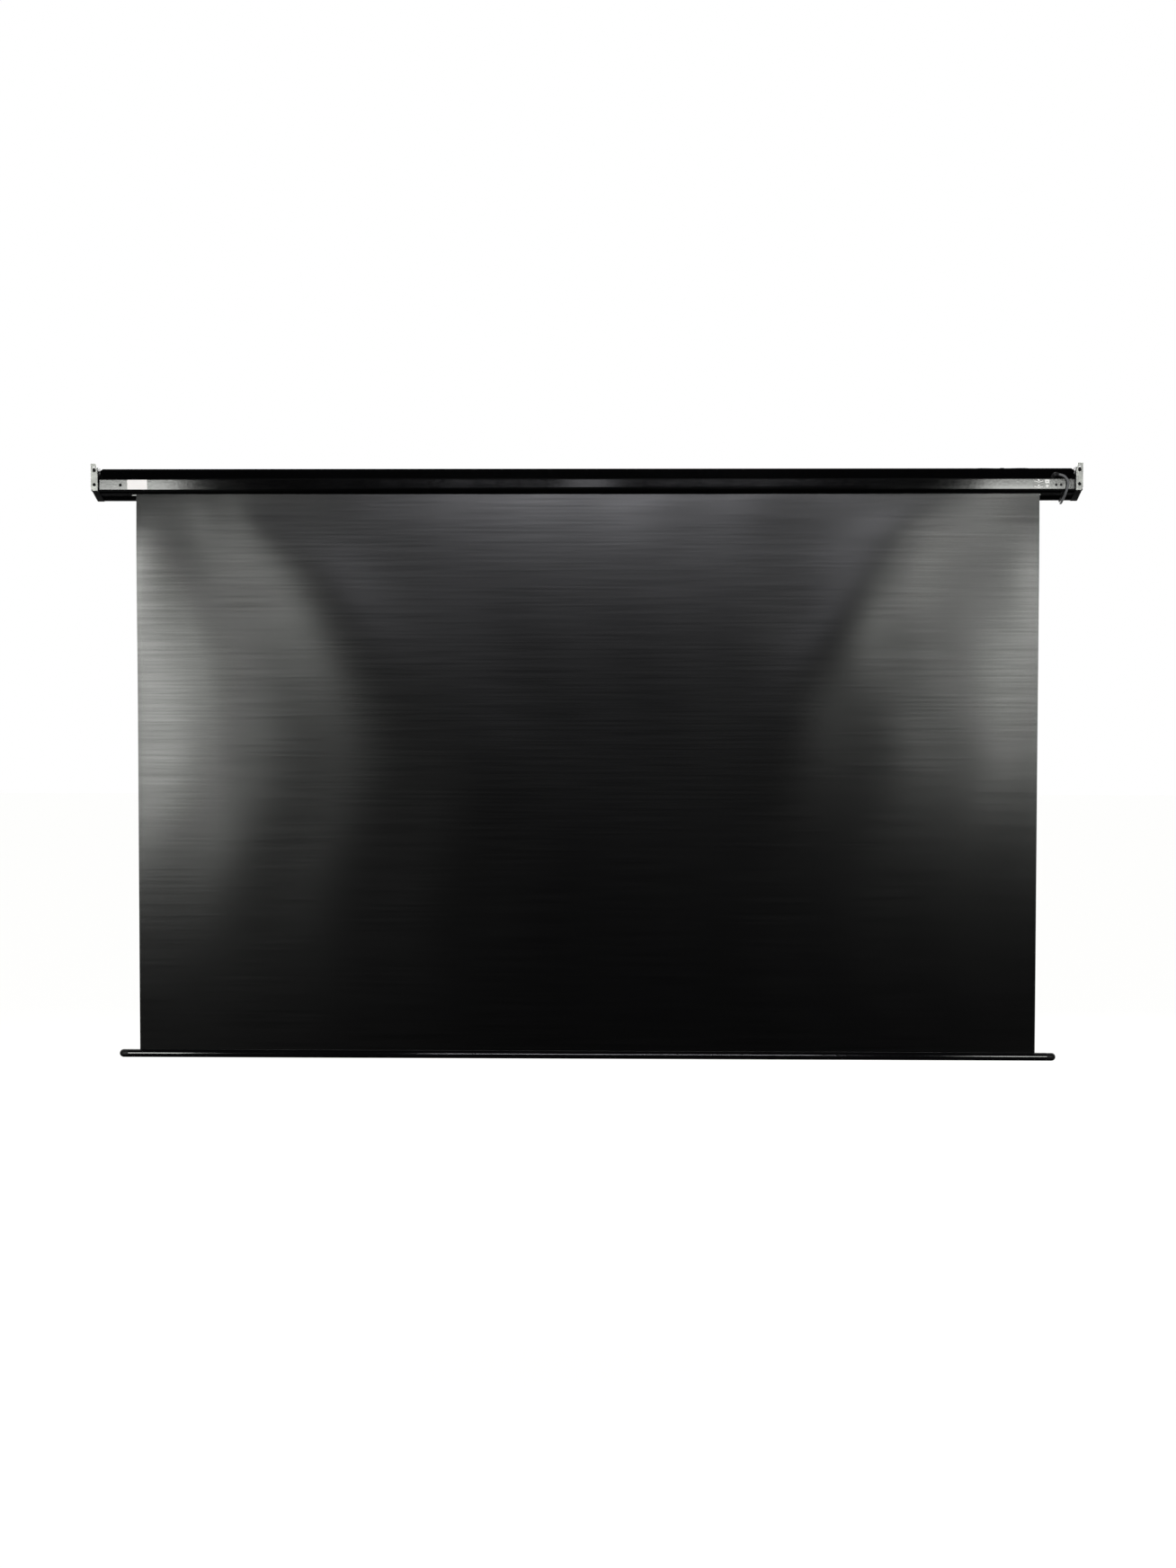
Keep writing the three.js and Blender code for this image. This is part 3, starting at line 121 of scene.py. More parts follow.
def outwards(obj):
    pick(obj)
    bpy.ops.object.mode_set(mode="EDIT")
    bpy.ops.mesh.select_all(action="SELECT")
    bpy.ops.mesh.remove_doubles(threshold=seamWeld * mm)
    bpy.ops.mesh.normals_make_consistent(inside=False)
    bpy.ops.object.mode_set(mode="OBJECT")
    return obj


def smooth(obj, angle=30):
    pick(obj)
    bpy.ops.object.shade_smooth_by_angle(angle=math.radians(angle))
    return obj


def finishPiece(obj, material, body, replaced=()):
    obj.data.materials.clear()
    obj.data.materials.append(material)
    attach(obj, body)
    if replaced:
        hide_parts(*replaced)
    return obj


# Camera, from a fit of the casing's corners, the bar and the fabric's edges

camera = {
    "place": (0.117, -5.528, -0.539),
    "yaw": -1.12,
    "pitch": -2.175,
    "roll": 0.058,
    "focalPixels": 2451.8,
    "longSidePixels": 1744,
    "sensor": 36,
    "clip": (0.05, 100),
}


def makeCamera():
    yaw, pitch, roll = (math.radians(camera[k]) for k in ("yaw", "pitch", "roll"))
    ahead = Vector((math.sin(yaw) * math.cos(pitch), math.cos(yaw) * math.cos(pitch), math.sin(pitch)))
    right = Vector((math.cos(yaw), -math.sin(yaw), 0))
    up = right.cross(ahead)
    turnedRight = right * math.cos(roll) + up * math.sin(roll)
    turnedUp = up * math.cos(roll) - right * math.sin(roll)
    bpy.ops.object.camera_add(location=camera["place"])
    made = bpy.context.object
    made.rotation_euler = Matrix((turnedRight, turnedUp, -ahead)).transposed().to_euler()
    made.data.sensor_width = camera["sensor"]
    made.data.lens = camera["focalPixels"] / camera["longSidePixels"] * camera["sensor"]
    made.data.clip_start, made.data.clip_end = camera["clip"]
    scene.camera = made


makeCamera()
print("camera placed")


# Finishes. Object coordinates are metres, so a pattern of a given size in mm has scale 1000 / size

def linear(hexColour):
    shares = [int(hexColour[i:i + 2], 16) / 255 for i in (1, 3, 5)]
    return [s / 12.92 if s <= 0.04045 else ((s + 0.055) / 1.055) ** 2.4 for s in shares] + [1]


def addNode(tree, kind, inputs=None, **settings):
    node = tree.nodes.new(kind)
    for key, value in settings.items():
        setattr(node, key, value)
    for key, value in (inputs or {}).items():
        if isinstance(value, bpy.types.NodeSocket):
            tree.links.new(value, node.inputs[key])
        else:
            node.inputs[key].default_value = value
    return node


def newMaterial(name):
    material = bpy.data.materials.new(name)
    material.use_nodes = True
    material.node_tree.nodes.clear()
    return material, material.node_tree


def startFinish(name):
    material, tree = newMaterial(name)
    return material, tree, addNode(tree, "ShaderNodeTexCoord").outputs["Object"]


# In every finish one pattern drifts the tone, one the gloss, and one raises the skin. spread is the part of
# the gloss pattern that the roughness follows. A look without an IOR is a metal's
def giveLook(tree, look, drift, gloss, skin, spread=(0.35, 0.65), strength=1.0, onto=None, coat=None):
    tone = addNode(tree, "ShaderNodeMix", {
        0: drift, 6: linear(look["tones"][0]), 7: linear(look["tones"][1])}, data_type="RGBA")
    rough = addNode(tree, "ShaderNodeMapRange", {
        "Value": gloss, "From Min": spread[0], "From Max": spread[1],
        "To Min": look["roughness"][0], "To Max": look["roughness"][1]})
    height = {"Height": skin, "Strength": strength, "Distance": look["relief"] * mm}
    if onto is not None:
        height["Normal"] = onto
    raised = addNode(tree, "ShaderNodeBump", height)
    optics = {"IOR": look["ior"]} if "ior" in look else {"Metallic": 1.0}
    shader = addNode(tree, "ShaderNodeBsdfPrincipled", {
        "Base Color": tone.outputs[2], "Roughness": rough.outputs[0], "Normal": raised.outputs[0],
        **optics, **(coat or {})})
    addNode(tree, "ShaderNodeOutputMaterial", {"Surface": shader.outputs[0]})


powder = {"tones": ("#020202", "#040405"), "pebble": 5, "haze": 260, "speck": 7, "roughness": (0.07, 0.098),
          "relief": 0.015, "ior": 1.5}


# Textured powder coat on the casing: deep black and glossy, but its pebbled skin frays every reflection.
# Real pebbles are 1 to 2 mm; they are drawn at 5 mm, so that they show from across a room
def makePowderCoat():
    material, tree, place = startFinish("powderCoatTexturedBlack")
    pebbles = addNode(tree, "ShaderNodeTexVoronoi", {"Vector": place, "Scale": 1000 / powder["pebble"]},
                      feature="SMOOTH_F1")
    haze = addNode(tree, "ShaderNodeTexNoise", {
        "Vector": place, "Scale": 1000 / powder["haze"], "Detail": 5.0})
    speck = addNode(tree, "ShaderNodeTexNoise", {
        "Vector": place, "Scale": 1000 / powder["speck"], "Detail": 2.0})
    uneven = addNode(tree, "ShaderNodeMath", {0: haze.outputs[0], 1: speck.outputs[0]}, operation="ADD")
    giveLook(tree, powder, haze.outputs[0], uneven.outputs[0], pebbles.outputs["Distance"], spread=(0.8, 1.2))
    return material


barPaint = {"tones": ("#060607", "#0a0a0b"), "dieLine": 1.5, "stretch": 0.01, "haze": 180,
            "roughness": (0.06, 0.1), "relief": 0.004, "ior": 1.65}


# Smooth satin paint on a drawn tube: the faint lines of the die still run along it under the paint
def makeBarPaint():
    material, tree, place = startFinish("satinPaintOnDrawnTube")
    drawn = addNode(tree, "ShaderNodeMapping", {"Vector": place, "Scale": (barPaint["stretch"], 1, 1)})
    lines = addNode(tree, "ShaderNodeTexNoise", {
        "Vector": drawn.outputs[0], "Scale": 1000 / barPaint["dieLine"], "Detail": 2.0})
    haze = addNode(tree, "ShaderNodeTexNoise", {
        "Vector": place, "Scale": 1000 / barPaint["haze"], "Detail": 4.0})
    giveLook(tree, barPaint, haze.outputs[0], haze.outputs[0], lines.outputs[0])
    return material


absSkin = {"tones": ("#070708", "#0b0b0c"), "spark": 2.2, "flow": 45, "roughness": (0.34, 0.46),
           "relief": 0.05, "ior": 1.54}


# Injection-moulded ABS: the spark-eroded mould leaves an even matte grain, with weak flow marks in its gloss.
# Real grain is 0.2 mm, drawn at 2.2 mm
def makeMouldedAbs():
    material, tree, place = startFinish("mouldedAbsBlack")
    spark = addNode(tree, "ShaderNodeTexNoise", {
        "Vector": place, "Scale": 1000 / absSkin["spark"], "Detail": 3.0})
    flow = addNode(tree, "ShaderNodeTexNoise", {
        "Vector": place, "Scale": 1000 / absSkin["flow"], "Detail": 2.0, "Distortion": 1.5})
    giveLook(tree, absSkin, flow.outputs[0], flow.outputs[0], spark.outputs[0], strength=0.6)
    return material


zinc = {"tones": ("#9a9b98", "#b5b6b2"), "cloud": 16, "rolling": 0.9, "stretch": 0.05,
        "roughness": (0.3, 0.4), "relief": 0.012}


# Electroplated zinc on cold-rolled sheet: a soft cloudy bloom over upright rolling lines
def makeZincPlate():
    material, tree, place = startFinish("zincPlatedSheet")
    rolled = addNode(tree, "ShaderNodeMapping", {"Vector": place, "Scale": (1, 1, zinc["stretch"])})
    lines = addNode(tree, "ShaderNodeTexNoise", {
        "Vector": rolled.outputs[0], "Scale": 1000 / zinc["rolling"], "Detail": 3.0})
    cloud = addNode(tree, "ShaderNodeTexNoise", {
        "Vector": place, "Scale": 1000 / zinc["cloud"], "Detail": 4.0})
    giveLook(tree, zinc, cloud.outputs[0], cloud.outputs[0], lines.outputs[0])
    return material


spangle = {"tones": ("#8b9194", "#b6babc"), "crystal": 9, "roughness": (0.3, 0.5), "relief": 0.01}


# Hot-dip galvanised tube: each zinc crystal has a grey and a gloss of its own
def makeGalvanised():
    material, tree, place = startFinish("galvanisedTube")
    crystals = addNode(tree, "ShaderNodeTexVoronoi", {"Vector": place, "Scale": 1000 / spangle["crystal"]})
    shade = addNode(tree, "ShaderNodeSeparateColor", {0: crystals.outputs["Color"]})
    giveLook(tree, spangle, shade.outputs[0], shade.outputs[1], crystals.outputs["Distance"], spread=(0, 1),
             strength=0.5)
    return material


# Metals whose tool marks run one way. stretch is the pattern's scale along X, Y and Z: small along the marks
metals = {
    # shafts and pins from the lathe, bright, with fine rings round them
    "turnedSteelShaft": {"tones": ("#7b7e80", "#a0a3a5"), "mark": 0.5, "stretch": (1, 0.04, 0.04),
                         "roughness": (0.24, 0.36), "relief": 0.006},
    # motor tube, pale, with straight lines from the die along it
    "drawnAluminiumTube": {"tones": ("#9c9fa1", "#b5b8ba"), "mark": 0.6, "stretch": (0.02, 1, 1),
                           "roughness": (0.3, 0.42), "relief": 0.006},
    # black oxide on screws, dark and half dull, with no direction
    "blackenedSteelScrew": {"tones": ("#151516", "#252527"), "mark": 0.8, "stretch": (1, 1, 1),
                            "roughness": (0.3, 0.45), "relief": 0.01},
    # plug blades, yellow and bright, wiped along their length
    "stampedBrassBlade": {"tones": ("#b4934b", "#cfb36c"), "mark": 0.4, "stretch": (0.05, 1, 1),
                          "roughness": (0.22, 0.36), "relief": 0.006},
    # porous bearing bush, brown and dull with oil
    "sinteredBronzeBush": {"tones": ("#80602f", "#a37e49"), "mark": 0.7, "stretch": (1, 1, 1),
                           "roughness": (0.46, 0.62), "relief": 0.03},
}
tarnishClouds = 60  # in a metre


def makeMetal(name):
    look = metals[name]
    material, tree, place = startFinish(name)
    along = addNode(tree, "ShaderNodeMapping", {"Vector": place, "Scale": look["stretch"]})
    marked = addNode(tree, "ShaderNodeTexNoise", {
        "Vector": along.outputs[0], "Scale": 1000 / look["mark"], "Detail": 3.0})
    tarnish = addNode(tree, "ShaderNodeTexNoise", {"Vector": place, "Scale": tarnishClouds, "Detail": 5.0})
    giveLook(tree, look, tarnish.outputs[0], marked.outputs[0], marked.outputs[0], spread=(0.3, 0.7))
    return material


# Plain plastics, rubber and films: a tone that drifts, a gloss that drifts with it, and a fine skin
plastics = {
    # white acetal gears and plugs, waxy and faintly mottled
    "mouldedAcetalWhite": {"tones": ("#d3d2cb", "#e3e2dd"), "drift": 30, "grain": 1.2,
                           "roughness": (0.34, 0.44), "relief": 0.01, "ior": 1.48},
    # adjusters deep in the access holes: near black, as painted shade, so that the holes read dark
    "acetalPaintedHoleShade": {"tones": ("#040405", "#09090a"), "drift": 8, "grain": 0.6, "roughness": (0.5, 0.6),
                           "relief": 0.01, "ior": 1.48},
    # grey PVC, extruded: smooth, with a dull bloom where it was handled
    "extrudedPvcJacket": {"tones": ("#5a5b5d", "#696a6c"), "drift": 35, "grain": 1.6,
                          "roughness": (0.3, 0.42), "relief": 0.02, "ior": 1.53},
    # black PVC moulded over the cord, for plug and strain relief: finely frosted
    "overmouldedPvc": {"tones": ("#141416", "#1d1d1f"), "drift": 18, "grain": 1.0, "roughness": (0.45, 0.55),
                       "relief": 0.03, "ior": 1.53},
    # nylon tie, clear-edged and a little shiny
    "mouldedNylonBlack": {"tones": ("#0f0f10", "#19191b"), "drift": 12, "grain": 0.9,
                          "roughness": (0.28, 0.38), "relief": 0.015, "ior": 1.53},
    # bare label of coated film
    "coatedLabelFilm": {"tones": ("#f3efec", "#faf7f5"), "drift": 22, "grain": 0.8, "roughness": (0.42, 0.52),
                        "relief": 0.006, "ior": 1.48},
    # pad-printed white ink, thin at its edges
    "padPrintedInk": {"tones": ("#e4e4e0", "#f2f2ef"), "drift": 5, "grain": 0.6, "roughness": (0.5, 0.6),
                      "relief": 0.006, "ior": 1.5},
    # adhesive strip that holds the cloth to the roller
    "adhesiveFilmAmber": {"tones": ("#b9a066", "#cbb47c"), "drift": 40, "grain": 2, "roughness": (0.25, 0.4),
                          "relief": 0.02, "ior": 1.47},
}


def makePlastic(name):
    look = plastics[name]
    material, tree, place = startFinish(name)
    drift = addNode(tree, "ShaderNodeTexNoise", {
        "Vector": place, "Scale": 1000 / look["drift"], "Detail": 4.0})
    grain = addNode(tree, "ShaderNodeTexNoise", {
        "Vector": place, "Scale": 1000 / look["grain"], "Detail": 2.0})
    giveLook(tree, look, drift.outputs[0], drift.outputs[0], grain.outputs[0])
    return material


# Calendered PVC cloth. Its patterns follow its own UV map, in metres of flat cloth. thread is the spacing of
# the scrim that shows through (0.5 mm in the real cloth, drawn at 9 mm) and weave its height. streak is the
# height and length of the faint lines that the calender rolls leave across it, and relief how far they rise
cloths = {
    # back: light-tight black, satin under a thin lacquer whose gloss runs in streaks
    "calenderedVinylBack": {"tones": ("#010101", "#020203"), "roughness": (0.206, 0.212), "ior": 1.454,
                            "lacquer": (0.27, 0.73), "thread": 9, "weave": 0.004, "streak": (6, 320),
                            "relief": 0.012},
    # black border printed on the front, matte
    "matteBorderPrint": {"tones": ("#0c0c0d", "#111112"), "roughness": (0.6, 0.7), "ior": 1.5,
                         "lacquer": (0, 0), "thread": 9, "weave": 0.02, "streak": (6, 320),
                         "relief": 0.03},
    # picture surface: matte white, with an emboss that kills any hot spot
    "matteWhitePicture": {"tones": ("#ebebe8", "#f1f1ee"), "roughness": (0.74, 0.82), "ior": 1.5,
                          "lacquer": (0, 0), "thread": 9, "weave": 0.05, "streak": (6, 320),
                          "relief": 0.02},
}
wear = {"clouds": 2.2, "streakShare": 0.7, "spread": (0.42, 0.58), "lacquerSpread": (0.35, 0.65)}


def makeClothFinish(name):
    look = cloths[name]
    material, tree = newMaterial(name)
    flat = addNode(tree, "ShaderNodeUVMap", uv_map="cloth").outputs[0]
    high, long = look["streak"]
    across = addNode(tree, "ShaderNodeMapping", {"Vector": flat, "Scale": (1000 / long, 1000 / high, 1)})
    streaks = addNode(tree, "ShaderNodeTexNoise", {
        "Vector": across.outputs[0], "Scale": 1.0, "Detail": 4.0, "Roughness": 0.6}).outputs[0]
    waveScale = 1000 / look["thread"] * math.tau / 20  # Wave Texture has 20 radians in a unit
    threads = [addNode(tree, "ShaderNodeTexWave", {
        "Vector": flat, "Scale": waveScale, "Distortion": 1.0, "Detail": 2.0}, bands_direction=way)
        for way in ("X", "Y")]
    scrim = addNode(tree, "ShaderNodeMath", {0: threads[0].outputs["Fac"], 1: threads[1].outputs["Fac"]},
                    operation="ADD")
    cloud = addNode(tree, "ShaderNodeTexNoise", {
        "Vector": flat, "Scale": wear["clouds"], "Detail": 4.0}).outputs[0]
    worn = addNode(tree, "ShaderNodeMix", {0: wear["streakShare"], 2: cloud, 3: streaks})
    woven = addNode(tree, "ShaderNodeBump", {
        "Height": scrim.outputs[0], "Strength": 1.0, "Distance": look["weave"] * mm})
    coat = {}
    if look["lacquer"][1]:
        gloss = addNode(tree, "ShaderNodeMapRange", {
            "Value": streaks, "From Min": wear["lacquerSpread"][0], "From Max": wear["lacquerSpread"][1],
            "To Min": look["lacquer"][0], "To Max": look["lacquer"][1]})
        coat = {"Coat Weight": gloss.outputs[0], "Coat Roughness": sum(look["roughness"]) / 2}
    giveLook(tree, look, cloud, worn.outputs[0], streaks, spread=wear["spread"], onto=woven.outputs[0],
             coat=coat)
    return material


powderCoat, satinPaint, mouldedAbs = makePowderCoat(), makeBarPaint(), makeMouldedAbs()
zincPlate, galvanised = makeZincPlate(), makeGalvanised()
shaftSteel, drawnAluminium, screwSteel, bladeBrass, bushBronze = [makeMetal(name) for name in metals]
(whiteAcetal, holeShadeAcetal, pvcJacket, overmould, nylonTie, labelFilm, padInk,
 adhesiveFilm) = [makePlastic(name) for name in plastics]
vinylBack, vinylBorder, vinylPicture = [makeClothFinish(name) for name in cloths]
print("finishes made")


# Mains cord: from the relief down behind the casing, under it, up its front and over to the hank

cord = {
    "radius": 3,
    "roundness": 4,
    "elbow": (1171, 9.5, 25.0),
    "turn": (1209, 4.5, 20.3),
    "inRelief": 6,
    "underBack": (1198, 4.5, -21.668),
    "bend": 22.5,
    "topBend": 40,
    "endX": 1198,
    "standOff": 4.5,
    "tailBend": 40,
    "tailAside": 40,
    "tailStraight": 27,
    "lead": 0.6,
}
casing = {"caseTop": 29.5, "topBack": 24.9698, "caseFront": 89.5, "frontTop": 23.8, "bandLow": -15,
          "bottomStart": 13, "bottomFall": 28, "bottomRun": 76.5}
# run and fold are the hank's straight length and smallest radius; halfRun and foldShare are shares of a turn
hank = {"x": 1044, "y": 56, "run": 104, "fold": 18, "pitch": 6.6, "waist": 5, "loops": 3, "layer": 6.6,
        "lift": 4.4, "stepsPerLoop": 48, "halfRun": 1 / 12, "foldShare": 1 / 3}
plug = {"setBack": 3, "lift": 6.8, "tailX": 888, "tailIn": 1}


def bentLine(corners, steps=10):
    places = [Vector(c[:3]) for c in corners]
    line = []
    for i, at in enumerate(places):
        radius = corners[i][3]
        if not radius:
            line.append(at)
            continue
        before = (places[i - 1] - at).normalized()
        after = (places[i + 1] - at).normalized()
        half = before.angle(after) / 2
        centre = at + (before + after).normalized() * (radius / math.sin(half))
        start = at + before * (radius / math.tan(half)) - centre
        turnAxis = after.cross(before).normalized()
        sweep = math.pi - 2 * half
        for k in range(steps + 1):
            line.append(Matrix.Rotation(sweep * k / steps, 3, turnAxis) @ start + centre)
    return line


topSlope = (casing["caseTop"] - casing["frontTop"]) / (casing["caseFront"] - casing["topBack"])
topTilt = math.atan(topSlope)
bottomSlope = casing["bottomFall"] / casing["bottomRun"]


def undersideAt(y):
    return casing["bandLow"] - bottomSlope * (y - casing["bottomStart"])


def onTop(x, y, rise):  # a place above the casing's sloping top
    height = casing["caseTop"] - topSlope * (y - casing["topBack"])
    return Vector((x, y + rise * math.sin(topTilt), height + rise * math.cos(topTilt)))


def smoothStep(t):
    t = min(max(t, 0), 1)
    return t * t * (3 - 2 * t)


def hankPoint(t):
    half = hank["run"] / 2
    turns = hank["loops"] / 2
    halfRun, fold = hank["halfRun"], hank["foldShare"]
    radius = hank["fold"] + abs(t - turns) * hank["pitch"]
    along = (t + halfRun) % 1 - halfRun
    drawnIn = lambda u: hank["waist"] * (1 + math.cos(math.pi * u / half)) / 2
    if along <= halfRun:
        u = -half * along / halfRun
        v = radius - drawnIn(u)
    elif along < halfRun + fold:
        turn = math.pi * (along - halfRun) / fold
        u, v = -half - radius * math.sin(turn), radius * math.cos(turn)
    elif along <= 3 * halfRun + fold:
        u = half * (along - 2 * halfRun - fold) / halfRun
        v = drawnIn(u) - radius
    else:
        turn = math.pi * (along - 3 * halfRun - fold) / fold
        u, v = half + radius * math.sin(turn), -radius * math.cos(turn)
    climb = smoothStep((t - turns + halfRun) / (2 * halfRun))
    return onTop(hank["x"] + u, hank["y"] + v, hank["lift"] + hank["layer"] * climb)


def cordLine():
    turn = Vector(cord["turn"])
    elbow = Vector(cord["elbow"])
    inRelief = elbow + (turn - elbow).normalized() * cord["inRelief"]
    frontY = casing["caseFront"] + cord["standOff"]
    cornerZ = undersideAt(frontY) - cord["standOff"] / math.cos(math.atan(bottomSlope))
    steps = round((hank["loops"] + 2 * hank["halfRun"]) * hank["stepsPerLoop"])
    wound = [hankPoint(i / hank["stepsPerLoop"] - hank["halfRun"]) for i in range(steps + 1)]
    start, end = wound[0], wound[-1]
    free = bentLine([
        (*inRelief, 0),
        (*turn, cord["bend"]),
        (*cord["underBack"], cord["bend"]),
        (cord["endX"], frontY, cornerZ, cord["bend"]),
        (cord["endX"], frontY, start.z, cord["topBend"]),
        (start.x + cord["lead"], start.y, start.z, 0)])
    plugAt = onTop(plug["tailX"], hank["y"] + plug["setBack"], plug["lift"])
    straightX = plug["tailX"] + cord["tailStraight"]
    tail = bentLine([
        (end.x - cord["lead"], end.y, end.z, 0),
        (straightX + cord["tailAside"], end.y, end.z, cord["tailBend"]),
        (straightX, plugAt.y, plugAt.z, cord["tailBend"]),
        (plug["tailX"] - plug["tailIn"], plugAt.y, plugAt.z, 0)])
    return [p * mm for p in free + wound + tail]


def makeTube(name, line, radius, roundness, replaced):  # a cord's round jacket
    data = bpy.data.curves.new(name, "CURVE")
    data.dimensions = "3D"
    spline = data.splines.new("POLY")
    spline.points.add(len(line) - 1)
    for point, place in zip(spline.points, line):
        point.co = (*place, 1)
    data.bevel_depth = radius * mm
    data.bevel_resolution = roundness
    data.use_fill_caps = True
    obj = bpy.data.objects.new(name, data)
    scene.collection.objects.link(obj)
    return finishPiece(obj, pvcJacket, "casing", replaced)


mainsLine = cordLine()
mainsCord = makeTube("mainsCord", mainsLine, cord["radius"], cord["roundness"],
                     ("power_cord", "cord_hank", "cord_tail"))


# CAD nodes with smooth faces and eased edges: each is a merged copy that stands for its node

dressingLimits = {"weld": 0.002, "flat": 0.2, "sharp": 40}  # mm, then degrees


def dressNode(node, material, body, slot, edge=0):
    obj = bpy.data.objects.new(node + "Dressed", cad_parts[node].data.copy())
    scene.collection.objects.link(obj)
    pick(obj)
    bpy.ops.object.mode_set(mode="EDIT")
    bpy.ops.mesh.select_all(action="SELECT")
    bpy.ops.mesh.remove_doubles(threshold=dressingLimits["weld"] * mm)
    bpy.ops.mesh.dissolve_limited(angle_limit=math.radians(dressingLimits["flat"]))
    bpy.ops.object.mode_set(mode="OBJECT")
    if edge:
        easeEdges(obj, edge * mm, 2, dressingLimits["sharp"])
    return finishPiece(smooth(obj), material, body, (node,))


# Node, finish, body, slot and, where its edges are eased, how far
dressing = [
    ("housing_back", powderCoat, "casing", "casing_black"),
    ("front_cover", powderCoat, "casing", "casing_black"),
    ("end_cap_left", mouldedAbs, "casing", "black_plastic"),
    ("end_cap_right", mouldedAbs, "casing", "black_plastic"),
    ("wall_bracket_left", zincPlate, "casing", "zinc_steel"),
    ("wall_bracket_right", zincPlate, "casing", "zinc_steel"),
    ("weight_bar", satinPaint, "bar", "bar_black"),
    ("sheet_hem", vinylBorder, "bar", "black_vinyl"),
    ("bar_cap_left", mouldedAbs, "bar", "black_plastic"),
    ("bar_cap_right", mouldedAbs, "bar", "black_plastic"),
    ("cord_gland", overmould, "casing", "cord_black"),
    ("cord_tie", nylonTie, "casing", "black_plastic", 0.15),
    ("plug_body", overmould, "casing", "cord_black"),
    ("plug_blade_a", bladeBrass, "casing", "blade_brass", 0.2),
    ("plug_blade_b", bladeBrass, "casing", "blade_brass", 0.2),
    # the limit adjusters take the near-black acetal that paints the shade in their access holes
    ("up_limit_screw", holeShadeAcetal, "up_limit", "black_plastic", 0.15),
    ("down_limit_screw", holeShadeAcetal, "down_limit", "black_plastic", 0.15),
]
dressed = {node: dressNode(node, *rest) for node, *rest in dressing}
print("visible CAD nodes dressed")

insideFinishes = {
    "roller_tube": galvanised, "motor_bracket": zincPlate, "idler_bracket": zincPlate,
    "motor_tube": drawnAluminium, "drive_shaft": shaftSteel, "idler_pin": shaftSteel, "hem_rod": shaftSteel,
    "motor_head": whiteAcetal, "motor_crown": whiteAcetal, "drive_wheel": whiteAcetal,
    "idler_plug": whiteAcetal, "fabric_tape": adhesiveFilm, "idler_bearing": bushBronze,
}
for node, material in insideFinishes.items():
    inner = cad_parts[node]
    inner.data.materials.clear()
    inner.data.materials.append(material)
print("inner CAD nodes finished")


# Screws with cross recesses: one model for each kind, copied to every place

recess = {"width": 0.9, "reach": 2.1, "depth": 1.2}
capScrew = {"head": 3.4, "height": 2.2, "shank": 1.5, "flat": False}
bracketScrew = {"head": 4, "height": 2, "shank": 2, "flat": True}
idlerScrew = {"head": 3.7, "height": 2.2, "shank": 2, "flat": False}
eased = 0.4  # of a head's height and of a shank's radius


def makeScrew(kind, shankLength):
    head = addShape(bpy.ops.mesh.primitive_cylinder_add, vertices=32, radius=kind["head"],
                    depth=kind["height"], location=(0, 0, kind["height"] / 2))
    if kind["flat"]:  # countersunk: the lower rim is drawn in to the shank
        bpy.ops.object.mode_set(mode="EDIT")
        bpy.ops.mesh.select_all(action="DESELECT")
        bpy.ops.object.mode_set(mode="OBJECT")
        for face in head.data.polygons:
            face.select = face.normal.z < -0.9
        bpy.ops.object.mode_set(mode="EDIT")
        share = kind["shank"] / kind["head"]
        bpy.ops.transform.resize(value=(share, share, 1))
        bpy.ops.object.mode_set(mode="OBJECT")
    else:
        easeEdges(head, kind["height"] * eased, 4, 60)
    long, short = recess["reach"], recess["width"] / 2
    for half in ((long, short), (short, long)):
        cutter = addShape(bpy.ops.mesh.primitive_cube_add, size=2, location=(0, 0, kind["height"]))
        cutter.scale = (*half, recess["depth"])
        settle(cutter)
        applyModifier(head, "BOOLEAN", operation="DIFFERENCE", object=cutter, solver="EXACT")
        bpy.data.objects.remove(cutter)
    shank = addShape(bpy.ops.mesh.primitive_cylinder_add, vertices=20, radius=kind["shank"],
                     depth=shankLength, location=(0, 0, -shankLength / 2))
    easeEdges(shank, kind["shank"] * eased, 1, 60)
    made = joinAll([head, shank], "screwModel")
    made.data.transform(Matrix.Scale(mm, 4))
    return smooth(made, 35)


def placeScrews(nodes, towards, kind):
    model = None
    axis = 0 if towards[0] else 1
    turn = Vector(towards).to_track_quat("Z", "Y").to_matrix().to_4x4()
    for node in nodes:
        low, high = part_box(node)
        length = (high[axis] - low[axis]) / mm
        model = model or makeScrew(kind, length - kind["height"])
        place = (low + high) / 2 / mm
        place[axis] += towards[axis] * (length / 2 - kind["height"])
        obj = bpy.data.objects.new(node + "Dressed", model.data.copy())
        scene.collection.objects.link(obj)
        obj.data.transform(Matrix.Translation(place * mm) @ turn)
        finishPiece(obj, screwSteel, "casing", (node,))
    bpy.data.objects.remove(model)


placeScrews(["cap_screw_left_bottom", "cap_screw_left_top", "cap_screw_left_back"], (-1, 0, 0), capScrew)
placeScrews(["cap_screw_right_bottom", "cap_screw_right_top", "cap_screw_right_back"], (1, 0, 0), capScrew)
placeScrews(["bracket_screw_left", "bracket_screw_right"], (0, -1, 0), bracketScrew)
placeScrews(["idler_bracket_screw"], (0, -1, 0), idlerScrew)
print("screws placed")


# Strain relief's rings, round the cone of the gland. Each has its place along the cone and its radius

relief = {"rings": ((5.6, 4.5), (7.4, 4.2), (9.2, 3.9)), "sunk": 0.35, "bead": 0.6}


def reliefRings():
    elbow, turn = Vector(cord["elbow"]), Vector(cord["turn"])
    way = (turn - elbow).normalized()
    rings = []
    for reach, radius in relief["rings"]:
        ring = addShape(bpy.ops.mesh.primitive_torus_add, major_segments=28, minor_segments=8,
                        major_radius=(radius - relief["sunk"]) * mm, minor_radius=relief["bead"] * mm,
                        location=(elbow + way * reach) * mm,
                        rotation=way.to_track_quat("Z", "Y").to_euler())
        rings.append(settle(ring))
    return smooth(joinAll(rings, "reliefRings"), 60)


